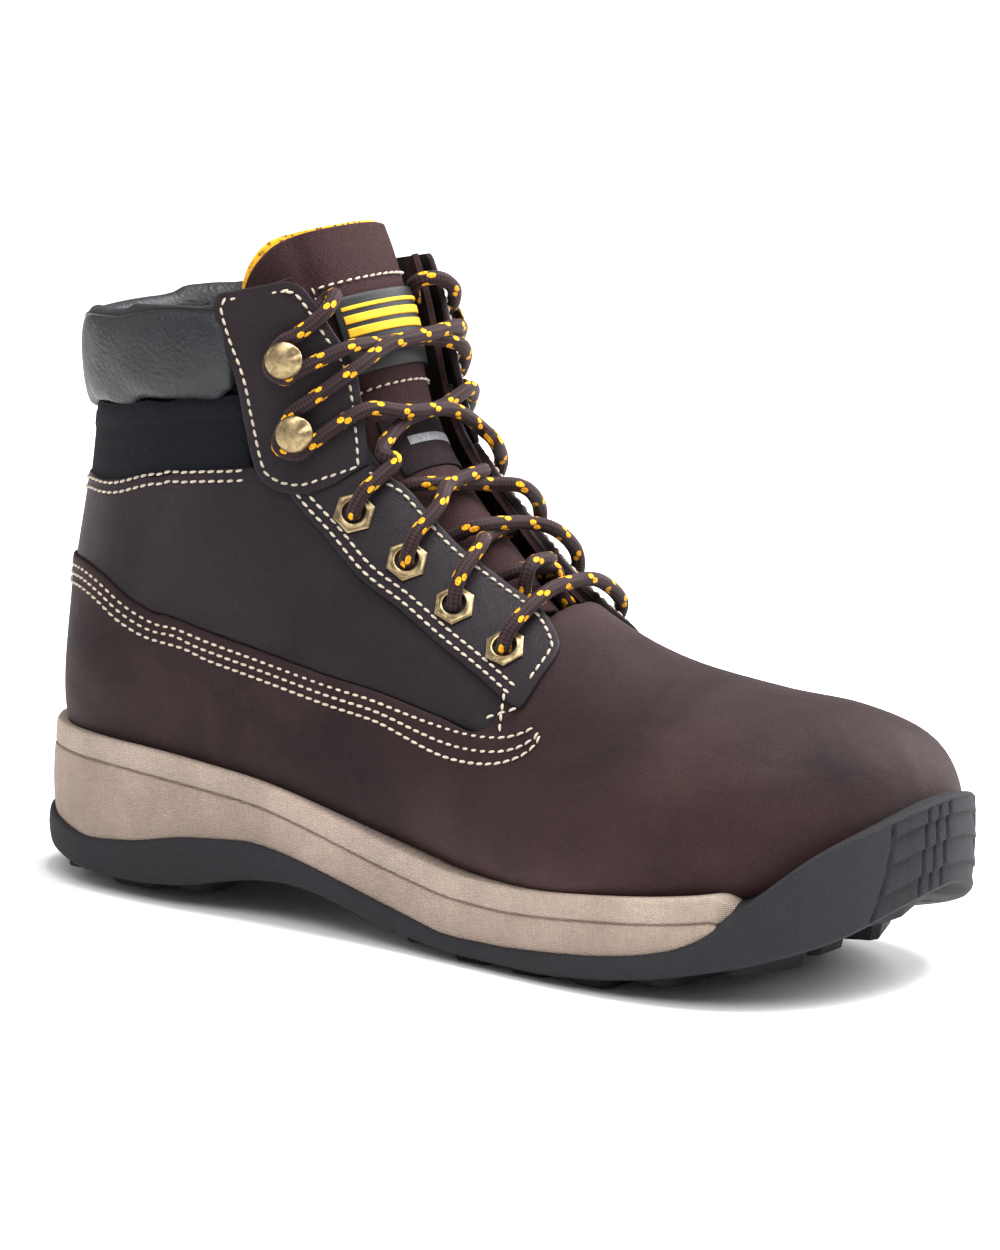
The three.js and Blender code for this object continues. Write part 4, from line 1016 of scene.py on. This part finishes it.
def tongue_where(lift):
    """The tongue's outline, with its crown raised by lift ribs."""
    def where(s, t):
        across = 2 * s - 1
        crown = 2.6 * np.sqrt(np.maximum(0, 1 - (0.995 * across) ** 2))
        rib = mix(6.75, 13.3 + crown + lift, t)
        reach = mix(0.16, 0.36, smooth((rib - 6.7) / 5))
        return rib, reach * across - 0.05 * smooth((rib - 12.5) / 3)
    return where


def build_tongue():
    def front_layer(rib, turn, s, t):
        base = tongue_base(rib, turn)
        soft = wander(surface(rib, turn), 26, 0.7, 31)
        rise = 0.9 * np.sin(np.pi * s) ** 0.5 * smooth(t * 8) * smooth((1 - t) * 8)
        return base - 2.0, base - 0.2 + soft * 0.5 + rise * 0.4

    def back_layer(rib, turn, s, t):
        base = tongue_base(rib, turn) - 2.9
        return base - 2.2 - 0.4 * np.sin(np.pi * s), base + 0.55
    sheet_piece("tongue_suede", tongue_where(0), (75, 130), (60, 110), front_layer, [SUEDE, EDGE],
                radius=0.9, body="tongue", slot="suede", node="tongue")
    sheet_piece("tongue_padding", tongue_where(0.27), (75, 132), (60, 110), back_layer, YELLOW_MESH,
                radius=1.2, body="tongue", slot="tongue_mesh", node="tongue_lining")


def on_tongue(path, out):
    """Points and normals along a (rib, turn) path, out mm off the tongue's face."""
    return on_upper(path, tongue_base(*path.T) + out)


def tongue_panel(name, rib, turn, cells, inner, outer, material, radius=0.3, **more):
    """A rectangular label between two ribs and two turns."""
    def where(s, t):
        return mix(*rib, t), mix(*turn, s)

    def layer(at_rib, at_turn, s, t):
        base = tongue_base(at_rib, at_turn)
        return base + inner, base + outer
    size = (260 * (turn[1] - turn[0]), 10.5 * (rib[1] - rib[0]))
    sheet_piece(name, where, size, cells, layer, material, radius=radius, body="tongue", **more)


def rectangle(low, high, left, right, count=30):
    """An open path round a rectangle of (rib, turn), count places to a side."""
    corners = [(low, left), (low, right), (high, right), (high, left)]
    sides = zip(corners, corners[1:] + corners[:1])
    return np.concatenate([np.linspace(a, b, count, endpoint=False) for a, b in sides])


def build_labels():
    tongue_panel("tongue_patch", (11.35, 13.4), (-0.095, 0.135), (26, 18), 0.2, 1.6, LABEL, radius=0.5,
                 slot="label_rubber", node="tongue_label")
    wide, narrow = (-0.08, 0.12), (-0.06, 0.10)
    bars = [((12.98, 13.1), wide), ((12.6, 12.84), wide), ((12.24, 12.48), wide), ((11.9, 12.06), narrow)]
    for k, (rib, turn) in enumerate(bars):
        tongue_panel(f"tongue_patch_bar_{k + 1}", rib, turn, (20, 6), 1.3, 2.0, LABEL_YELLOW)
    tongue_panel("woven_tab", (9.3, 10.35), (-0.07, 0.125), (18, 10), 0.15, 0.95, WOVEN, slot="label_woven",
                 node="woven_label")
    tongue_panel("woven_tab_stripe", (9.76, 9.92), (-0.03, 0.10), (16, 4), 0.8, 1.15, WOVEN_LIGHT,
                 radius=0.15)
    rows = [on_tongue(rectangle(11.0, 13.85, -0.13, 0.17), 0.5)]
    stitching("tongue_stitching", rows, body="tongue", length=2.2, width=0.8)


# ---------- sole ----------

def sole_angle(x):
    return np.arccos(np.clip(1 - 2 * (x - SOLE_START) / (SOLE_END - SOLE_START), -1, 1))


def sole_plan(angle):
    """x, outer y and inner y of the sole at an angle: 0 is the back of the heel, pi the toe tip."""
    knots = sole_angle(SOLE_PLAN[:, 0])
    return catmull(SOLE_PLAN, np.interp(angle, knots, np.arange(len(knots))))


def sole_outline(toe=268, toe_spacing=0.55, spacing=2.2):
    """Stations round the sole, from the back of the heel along the outer side, closer together past toe;
    with them their outward directions and their sides, -1 for the outer one."""
    angles = np.linspace(0, 2 * np.pi, 4001)[:-1]
    outer = angles <= np.pi
    half = np.where(outer, angles, 2 * np.pi - angles)
    x = mix(SOLE_START, SOLE_END, (1 - np.cos(half)) / 2)
    y = np.where(outer, *sole_plan(half)[:, 1:].T)
    points = np.stack([x, y], -1)
    points = np.concatenate([points, points[:1]])
    steps = np.linalg.norm(np.diff(points, axis=0), axis=1)
    middle = (points[1:, 0] + points[:-1, 0]) / 2
    run = np.concatenate([[0], np.cumsum(steps / np.where(middle > toe, toe_spacing, spacing))])
    ring = read_rows(np.linspace(0, run[-1], int(run[-1]))[:-1], run, points)
    way = np.roll(ring, -2, axis=0) - np.roll(ring, 2, axis=0)
    way /= np.linalg.norm(way, axis=1, keepdims=True)
    side = np.where(np.arange(len(ring)) < np.argmax(ring[:, 0]), -1.0, 1.0)
    return ring, np.stack([way[:, 1], -way[:, 0]], -1), side


OUTLINE, OUTWARD, SIDE = sole_outline()
STATION_X = OUTLINE[:, 0]
EDGE_TABLE = smoothed(SOLE_HEIGHTS[:, 0], SOLE_HEIGHTS[:, 1], 4)
WALL_TABLE = smoothed(SOLE_HEIGHTS[:, 0], SOLE_HEIGHTS[:, 2], 3.2)
TOP_TABLE = smoothed(SOLE_HEIGHTS[:, 0], SOLE_HEIGHTS[:, 3], 5)


def edge_z(x):
    return np.interp(x, *EDGE_TABLE)


def wall_z(x):
    return np.interp(x, *WALL_TABLE)


def top_z(x):
    return np.interp(x, *TOP_TABLE)


def sole_ring(out, z):
    """Ring round the sole, out mm past its outline at height z."""
    xy = OUTLINE + OUTWARD * np.broadcast_to(out, STATION_X.shape)[:, None]
    return np.column_stack([xy, np.broadcast_to(z, STATION_X.shape)])


def sole_spine(z, inset=14):
    """Ring folded on to the sole's middle line, at heights z(x); it closes the sole's flat faces."""
    x = np.clip(STATION_X, SOLE_START + inset, SOLE_END - inset)
    return np.column_stack([x, sole_plan(sole_angle(x))[:, 1:].mean(1), z(x)])


def falls_to(f, target, low, high, rounds=24):
    """Where f, which falls from low to high, has fallen to the target."""
    low, high = np.full_like(target, low), np.full_like(target, high)
    for _ in range(rounds):
        t = (low + high) / 2
        above = f(t) > target
        low = np.where(above, t, low)
        high = np.where(above, high, t)
    return (low + high) / 2


def end_x(z, toe):
    """x of the upper's heel or toe on its middle line, at height z."""
    if not toe:
        return surface(falls_to(lambda r: -surface(r, 1)[..., 2], -z, 10, 12), 1)[..., 0]
    under = surface(falls_to(lambda r: surface(r, 1)[..., 2], z, 0.05, 4), 1)[..., 0]
    over = surface(falls_to(lambda r: -surface(r, 0)[..., 2], -z, 0.05, 3), 0)[..., 0]
    return np.where(z < 46, under, over)


def rim_places(z):
    """(rib, turn) of the upper's outline at height z beside each station of the sole."""
    x = STATION_X
    heel = mix(HEEL_FAN, end_x(z, False), (HEEL_FAN - x) / (HEEL_FAN - SOLE_START))
    toe = mix(TOE_FAN, end_x(z, True), (x - TOE_FAN) / (SOLE_END - TOE_FAN))
    x = np.where(x < HEEL_FAN, heel, np.where(x > TOE_FAN, toe, x))

    def rib_at(turn):
        return falls_to(lambda r: surface(r, SIDE * turn)[..., 0], x, 0.05, 11.6, 18)
    turn = falls_to(lambda t: surface(rib_at(t), SIDE * t)[..., 2], z, 0.02, 1.0, 18)
    return rib_at(turn), SIDE * turn


def rim_ring(z, out):
    """Ring on the upper beside each station, out mm off its surface at height z."""
    return place(*rim_places(np.asarray(z, float)), np.broadcast_to(out, STATION_X.shape))


def stack_piece(name, rings, materials, kinds=None, **more):
    """A closed body through rings round the sole; the first and last rings are folded on to its middle.
    kinds gives the material of each strip between two rings."""
    rows = np.array(rings)
    count, around = rows.shape[:2]
    kinds = np.repeat(kinds or [0] * (count - 1), around)
    points = rows.reshape(-1, 3)
    _, first, back = np.unique(np.round(points, 4), axis=0, return_index=True, return_inverse=True)
    back = back.reshape(-1).tolist()
    kept, kept_kinds = [], []
    for face, kind in zip(grid_faces(count, around, close_columns=True), kinds):
        corners = [back[i] for i in face]
        corners = [i for i, after in zip(corners, corners[1:] + corners[:1]) if i != after]
        if len(corners) > 2:
            kept.append(tuple(corners))
            kept_kinds.append(int(kind))
    points = points[first]
    mesh_piece(name, points, oriented(points, kept), materials, face_material=kept_kinds, **more)


def bumper_relief(share):
    """How far the toe bumper's ribbed panel stands in or out, at each station, at a share of the wall."""
    x = STATION_X
    run = lengths(OUTLINE)
    along = run - run[np.argmax(x)]
    left = -23.5 - 8 * (1 - share) ** 2
    inside = smooth((along - left) / 0.9) * smooth((-left - along) / 0.9)
    within = np.clip(share * 4.0, 0, 3.999) % 1
    shingle = -0.9 * smooth(within / 0.94) + 0.9 * smooth((within - 0.97) / 0.03)
    groove = sum(np.exp(-((along - start - 4.5 * share) / 0.5) ** 2) for start in (-14.2, -9.8, -5.4))
    border = np.exp(-((along - left) / 0.7) ** 2) + np.exp(-((along + left) / 0.7) ** 2)
    fade = smooth((share - 0.02) / 0.06) * (1 - smooth((share - 0.86) / 0.05))
    return ((shingle - 0.8 * groove) * inside - border) * fade * smooth((x - 262) / 8)


def build_outsole():
    edge, wall = edge_z(STATION_X), wall_z(STATION_X)
    in_toe = smooth((STATION_X - 246) / 14)
    rings = [sole_spine(lambda x: edge_z(x) + 1.2)]
    rings += [sole_ring(out, edge + up) for out, up in OUTSOLE_FOOT]
    for share in np.linspace(0.06, 0.9, 36):
        bulge = 0.6 * np.sin(np.pi * share) ** 0.8
        z = mix(edge + 1.6, wall - 0.9, (share - 0.06) / 0.84)
        rings.append(sole_ring(bulge + bumper_relief(share), z))
    rings += [sole_ring(out, wall + up) for out, up in ((-0.1, -0.55), (-0.45, -0.15), (-1.0, 0))]
    lip = mix(sole_ring(-4.5, wall - 0.1), rim_ring(np.maximum(wall - 0.5, 30), -0.6), in_toe[:, None])
    rings += [mix(rings[-1], lip, 0.75), lip]
    rings.append(sole_ring(mix(-6.4, -7.6, in_toe), mix(wall - 1.5, edge + 10, in_toe)))
    rings.append(sole_spine(lambda x: edge_z(x) + 4.5))
    stack_piece("outsole_shell", rings, RUBBER, slot="outsole_rubber", node="outsole", sharp=48)


def build_midsole(hide=-9.0):
    """The foam wall with its groove; towards the toe it draws in by hide mm behind the bumper."""
    wall, top, edge = wall_z(STATION_X), top_z(STATION_X), edge_z(STATION_X)
    ends = smooth((STATION_X - 257) / 14)
    low = mix(wall - 0.3, edge + 6, ends)
    high = mix(top, edge + 12, ends)
    groove = np.maximum(high - 7.4, low + 1.5)
    tip = np.argmax(STATION_X)

    def ring(out, z):
        return sole_ring(mix(-1.2 + out, hide, ends), mix(z, np.clip(z, low, high), ends))

    def spine(up):
        return sole_spine(lambda x: np.interp(x, STATION_X[:tip], low[:tip]) + up)
    foam = [spine(0.4), ring(-5.5, low), ring(-0.15, low)]
    for share in (0.12, 0.3, 0.5, 0.7, 0.86):
        foam.append(ring(0.45 * math.sin(math.pi * share), mix(low, groove - 0.9, share)))
    foam += [ring(out, groove + up) for out, up in MIDSOLE_GROOVE]
    lip = [ring(-0.2 - 0.35 * share, mix(groove + 0.9, high - 0.6, share)) for share in (0.3, 0.6, 0.8)]
    lip += [ring(out, high - drop) for out, drop in ((-0.75, 0.6), (-1.05, 0.2), (-1.6, 0))]
    hug = rim_ring(np.clip(top - 0.7, 24, 50), -0.7)
    inner = mix(hug, sole_ring(-11, high), ends[:, None])
    lip += [mix(lip[-1], inner, 0.7), inner]
    under = [mix(hug, sole_ring(-14, np.maximum(low + 3, 15)), 0.8), spine(2.5)]
    # The strips above the groove take the lighter foam copy, painted light on the upper band.
    kinds = [0] * (len(foam) - 1) + [1] * len(lip) + [0] * len(under)
    stack_piece("midsole_foam", foam + lip + under, [FOAM, LIP_FOAM_PAINTED_LIGHT], kinds, slot="midsole_foam",
                node="midsole", sharp=50)


def lug(centre, size, turn, low, high, cut=2.2):
    """One tread block: a bevelled, slightly tapered block with cut corners."""
    a = math.radians(turn)
    half = np.array(size) / 2
    corner = [(1, -1, cut, 0), (1, -1, 0, cut), (1, 1, 0, cut), (1, 1, cut, 0),
              (-1, 1, cut, 0), (-1, 1, 0, cut), (-1, -1, 0, cut), (-1, -1, cut, 0)]
    plan = np.array([(sx * (half[0] - u), sy * (half[1] - v)) for sx, sy, u, v in corner])
    rows = []
    middle = mix(low, high, 0.5)
    for z, inset in ((high, -0.8), (middle, 0.0), (low + 0.5, 0.35), (low + 0.12, 0.75), (low, 1.3)):
        u, v = (plan * (half - inset) / half).T
        x = centre[0] + u * math.cos(a) - v * math.sin(a)
        y = centre[1] + u * math.sin(a) + v * math.cos(a)
        rows.append(np.column_stack([x, y, np.full(len(u), z)]))
    return capped_roll(np.array(rows))


# Tread blocks: x, y, length, width and turn in degrees.
LUGS = [
    (20.6, -16.6, 17, 15, 35), (20.6, 14.6, 17, 15, -35), (45, -22, 18, 20, 0), (45, 19, 18, 20, 0),
    (66, -24, 13, 18, 0), (66, 21, 13, 18, 0), (152, -26, 14, 26, 0), (152, 23, 14, 26, 0),
    (173, -31, 14, 28, 0), (173, 28, 14, 28, 0), (194, -34, 14, 28, 0), (194, 32, 14, 26, 0),
    (173, -1, 14, 16, 0), (194, -1, 14, 18, 0), (216, -36, 14, 28, 0), (216, 33, 14, 26, 0),
    (216, -1, 14, 20, 0), (237, -34, 14, 28, -8), (237, 32, 14, 26, 8), (237, -1, 14, 20, 0),
    (258, -27, 13, 26, -22), (258, 28, 13, 24, 22), (258, 1, 13, 16, 0),
]


def build_lugs():
    blocks = []
    for x, y, length, width, turn in LUGS:
        edge = float(edge_z(x))
        blocks.append(lug((x, y), (length, width), turn, max(edge - 3.2, 0.0), edge + 2))
    points, faces = joined(blocks)
    mesh_piece("tread_lugs", points, faces, RUBBER, slot="outsole_rubber", sharp=35)


# ---------- fittings ----------

def standing(rib, turn, out):
    """Axes and origin of a fitting on the upper: the third axis points out, the first to the opening."""
    z = normal(rib, turn)
    towards = surface(rib, turn * 0.9) - surface(rib, turn)
    x = towards - z * (towards @ z)
    x /= np.linalg.norm(x)
    return np.stack([x, np.cross(z, x), z]), place(rib, turn, np.array(out))


def build_eyelet(name, rib, turn, node, count=48):
    """A hexagonal washer with a rolled rim round its bore, and a barrel down through the leather."""
    angle = np.arange(count) / count * math.tau
    flat = 1 / np.cos((angle + math.pi / 6) % (math.pi / 3) - math.pi / 6)
    rows = []
    for reach, z, square in EYELET_PROFILE:
        r = reach * mix(1, flat, square)
        rows.append(np.column_stack([r * np.cos(angle), r * np.sin(angle), np.full(count, z)]))
    axes, origin = standing(rib, turn, 1.95)
    points = (np.array(rows) @ axes + origin).reshape(-1, 3)
    faces = oriented(points, grid_faces(len(rows), count, close_rows=True, close_columns=True))
    mesh_piece(name, points, faces, BRASS, slot="brass", node=node, sharp=38)


def build_hook(name, rib, turn, node, count=40):
    """A speed hook: a round foot, a bent neck and a domed head with a pressed notch towards the opening."""
    angle = np.arange(count) / count * math.tau
    rows = np.array([[(r * math.cos(a), r * math.sin(a), z) for a in angle] for r, z in HOOK_PROFILE])
    x, y, z = np.moveaxis(rows, -1, 0)
    dent = np.exp(-((x - 4.0) / 1.3) ** 2 - (y / 1.2) ** 2) * smooth((z - 5.9) / 1.2)
    z = z - 1.1 * dent
    ring = smooth((z - 7.0) / 0.6) * np.exp(-((np.hypot(x, y) - 3.9) / 0.35) ** 2)
    axes, origin = standing(rib, turn, 2.35)
    points, faces = capped_roll(np.stack([x, y, z - 0.16 * ring], -1) @ axes + origin)
    mesh_piece(name, points, faces, BRASS, slot="brass", node=node, sharp=50)


# ---------- lace ----------

def strand_way(side):
    """Way points of one strand, from the middle of the bottom bar to its tucked end."""
    way = []
    now = side
    outer = side < 0

    def go(rib, turn, out):
        way.append(place(rib, turn, np.array(out)))

    def edge(rib, at, out):
        """A way point at a share of the way from the centre line to the opening's edge."""
        go(rib, now * at * float(table(FACING_EDGE, rib)), out)

    def rise(k):
        """Up through an eyelet and over the edge of the opening."""
        rib, turn = EYELETS[k]
        for up, off, out in ((0, 0, UNDER), (0, 0, -1), (0, 0, OVER - 1.8), (0.1, -0.03, OVER + 1.2)):
            go(rib + up, now * (turn + off), out)
        edge(rib + 0.25, 0.86, OVER + 0.3)

    def cross(start, stop, lift):
        """Over to the other side, and under its edge."""
        nonlocal now
        edge(mix(start, stop, 0.35), 0.45, lift)
        edge(mix(start, stop, 0.6), -0.45, lift * 0.6 - 0.6)
        edge(mix(start, stop, 0.78), -0.7, -2.8)
        now = -now
        edge(mix(start, stop, 0.88), 0.93, UNDER + 0.4)
        edge(stop - 0.06, 1.3, UNDER)

    def bar(start, stop, lift):
        """Over to the other side, above its edge."""
        nonlocal now
        edge(start, 0.95, OVER - 0.6)
        edge(mix(start, stop, 0.4), 0.35, lift)
        edge(mix(start, stop, 0.6), -0.35, lift)
        now = -now
        edge(stop, 0.95, OVER - 0.6)

    def around(k):
        """Round a hook's neck."""
        rib, turn = HOOKS[k]
        for along, off in ((-0.37, -0.03), (-0.36, 0.002), (0, 0.03), (0.36, 0.002), (0.37, -0.03)):
            go(rib + along, now * (turn + off), HOOK_LEVEL)

    low, turn = EYELETS[3]
    go(low - 0.02, 0, OVER - 1.2)
    edge(low, 0.75, OVER)
    for up, off, out in ((0, -0.022, OVER + 1.1), (0, 0, OVER - 1.6), (0, 0, -1), (0.03, 0, UNDER)):
        go(low + up, now * (turn + off), out)
    edge(low + 0.2, 1.15, UNDER)
    edge(low + 0.3, 0.85, UNDER + 0.5)
    start = low + 0.3
    for k in (2, 1, 0):
        cross(start, EYELETS[k][0], 3.0 if outer else -0.1)
        rise(k)
        start = EYELETS[k][0] + 0.2
    lift = 3.4 if outer else 0.2
    bar(9.75, 10.75, lift)
    around(1)
    bar(11.65, 12.12, lift)
    around(0)
    for rib, at, out in ((13.15, 1.02, OVER + 0.2), (13.4, 0.74, 2.6), (13.5, 0.6, -2), (13.45, 0.66, -5),
                         (13.3, 0.9, -6.3), (12.95, 1.25, -6.3)):
        edge(rib, at, out)
    return np.array(way)


def centripetal(points, per=24):
    """A centripetal Catmull-Rom line through points."""
    ends = np.concatenate([[2 * points[0] - points[1]], points, [2 * points[-1] - points[-2]]])
    line = []
    for p in range(len(points) - 1):
        q = ends[p:p + 4]
        knots = np.concatenate([[0], np.cumsum(np.linalg.norm(np.diff(q, axis=0), axis=1) ** 0.5)])
        t = np.linspace(knots[1], knots[2], per, endpoint=False)[:, None]

        def between(a, b, low, high):
            return mix(a, b, (t - knots[low]) / (knots[high] - knots[low]))
        a = [between(q[k], q[k + 1], k, k + 1) for k in range(3)]
        b = [between(a[k], a[k + 1], k, k + 2) for k in range(2)]
        line.append(between(b[0], b[1], 1, 2))
    return np.concatenate(line + [points[-1:]])


def build_lace(around=24, spacing=0.5, strands=8):
    """The cord through both strands' way points, with a woven skin and weave coordinates for its paint."""
    line = centripetal(np.concatenate([strand_way(-1)[::-1], strand_way(1)[1:]]))
    line = resampled(line, int(lengths(line)[-1] / spacing))
    run = lengths(line)
    turns = np.arange(around) / around * strands
    weave = np.sin(np.pi * (turns + run[:, None])) * np.sin(np.pi * (turns - run[:, None]))
    points, faces = capped_roll(cord_rows(line, LACE_RADIUS * (0.97 + 0.045 * weave), around))
    corners = []
    for face in faces:
        if max(face) >= len(line) * around:
            corners += [(0, 0)] * len(face)
            continue
        columns = [i % around for i in face]
        wraps = max(columns) - min(columns) > around / 2
        for i, c in zip(face, columns):
            v = (c + around if wraps and c == 0 else c) / around
            corners.append((run[i // around] / 100, v))
    mesh_piece("braided_lace", points, faces, CORD, slot="lace_cord", node="lace",
               corner_weave=corners, sharp=0)


# ---------- the boot ----------

build_vamp()
build_lining()
for side, label in ((-1, "lateral"), (1, "medial")):
    build_quarter(side, label)
    build_stay(side, label)
    build_flap(side, label)
    build_facing(side, label)
    build_stitching(side, label)
    for k, (rib, turn) in enumerate(EYELETS):
        build_eyelet(f"eyelet_ring_{label}_{k + 1}", rib, side * turn, f"eyelet_{label}_{k + 1}")
    for k, (rib, turn) in enumerate(HOOKS):
        build_hook(f"speed_hook_{label}_{k + 1}", rib, side * turn, f"hook_{label}_{k + 1}")
build_band()
build_collar()
build_back_strip()
build_tongue()
build_labels()
build_midsole()
build_outsole()
build_lugs()
build_lace()
for node, material in (("insole_board", BOARD), ("footbed", FOOTBED), ("steel_toe_cap", STEEL),
                       ("heel_counter", BOARD)):
    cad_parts[node].data.materials.clear()
    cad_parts[node].data.materials.append(material)


# ---------- floor, light, camera ----------

def build_floor(size=6.0):
    mesh = bpy.data.meshes.new("floor")
    corners = [(-size, -size, 0), (size, -size, 0), (size, size, 0), (-size, size, 0)]
    mesh.from_pydata(corners, [], [(0, 1, 2, 3)])
    p = Paint("floor_paint", roughness=0.6, specular=0.3)
    p.set("Base Color", p.blend(p.ramp(p.noise(3, 2), 0.3, 0.7), (0.93, 0.93, 0.93), (0.95, 0.95, 0.95)))
    mesh.materials.append(p.material)
    floor = bpy.data.objects.new("floor", mesh)
    bpy.context.scene.collection.objects.link(floor)


def area_light(name, place_at, target, size, power):
    data = bpy.data.lights.new(name, "AREA")
    data.shape = "RECTANGLE"
    data.size, data.size_y = size
    data.energy = power
    lamp = bpy.data.objects.new(name, data)
    lamp.location = place_at
    lamp.rotation_euler = (Vector(target) - Vector(place_at)).to_track_quat("-Z", "Y").to_euler()
    bpy.context.scene.collection.objects.link(lamp)


def build_world():
    world = bpy.data.worlds.new("studio")
    world.use_nodes = True
    background = world.node_tree.nodes["Background"]
    background.inputs["Color"].default_value = (1, 1, 1, 1)
    background.inputs["Strength"].default_value = 0.5
    bpy.context.scene.world = world


def build_camera():
    """A long lens that looks at the outer side from somewhat in front and a little above."""
    azimuth, elevation, roll = math.radians(34.25), math.radians(11.55), math.radians(-0.54)
    distance = 2.5
    right = Vector((math.cos(azimuth), math.sin(azimuth), 0))
    ahead = Vector((-math.sin(azimuth) * math.cos(elevation), math.cos(azimuth) * math.cos(elevation),
                    -math.sin(elevation)))
    up = right.cross(ahead)
    target = Vector((0.00175, 0.00233, 0.0875))
    turned_right = right * math.cos(roll) - up * math.sin(roll)
    turned_up = up * math.cos(roll) + right * math.sin(roll)
    data = bpy.data.cameras.new("camera")
    data.sensor_fit = "HORIZONTAL"
    data.sensor_width = 36
    data.lens = 315
    data.clip_end = 50
    camera = bpy.data.objects.new("camera", data)
    axes = Matrix((turned_right, turned_up, -ahead)).transposed()
    camera.matrix_world = Matrix.Translation(target - ahead * distance) @ axes.to_4x4()
    bpy.context.scene.collection.objects.link(camera)
    bpy.context.scene.camera = camera


build_floor()
build_world()
area_light("key", (0.6, -1.3, 1.7), (0, 0, 0.1), (1.4, 1.0), 25)
area_light("top", (0.45, 0.25, 1.8), (0.05, 0, 0.1), (1.5, 1.2), 72)
area_light("fill", (-1.6, -0.9, 0.9), (0, 0, 0.1), (1.2, 1.2), 6)
area_light("rim", (0.8, 1.5, 1.0), (0, 0, 0.1), (1.7, 0.9), 44)
build_camera()
bpy.context.scene.view_settings.view_transform = "Standard"
bpy.context.scene.view_settings.gamma = 0.9
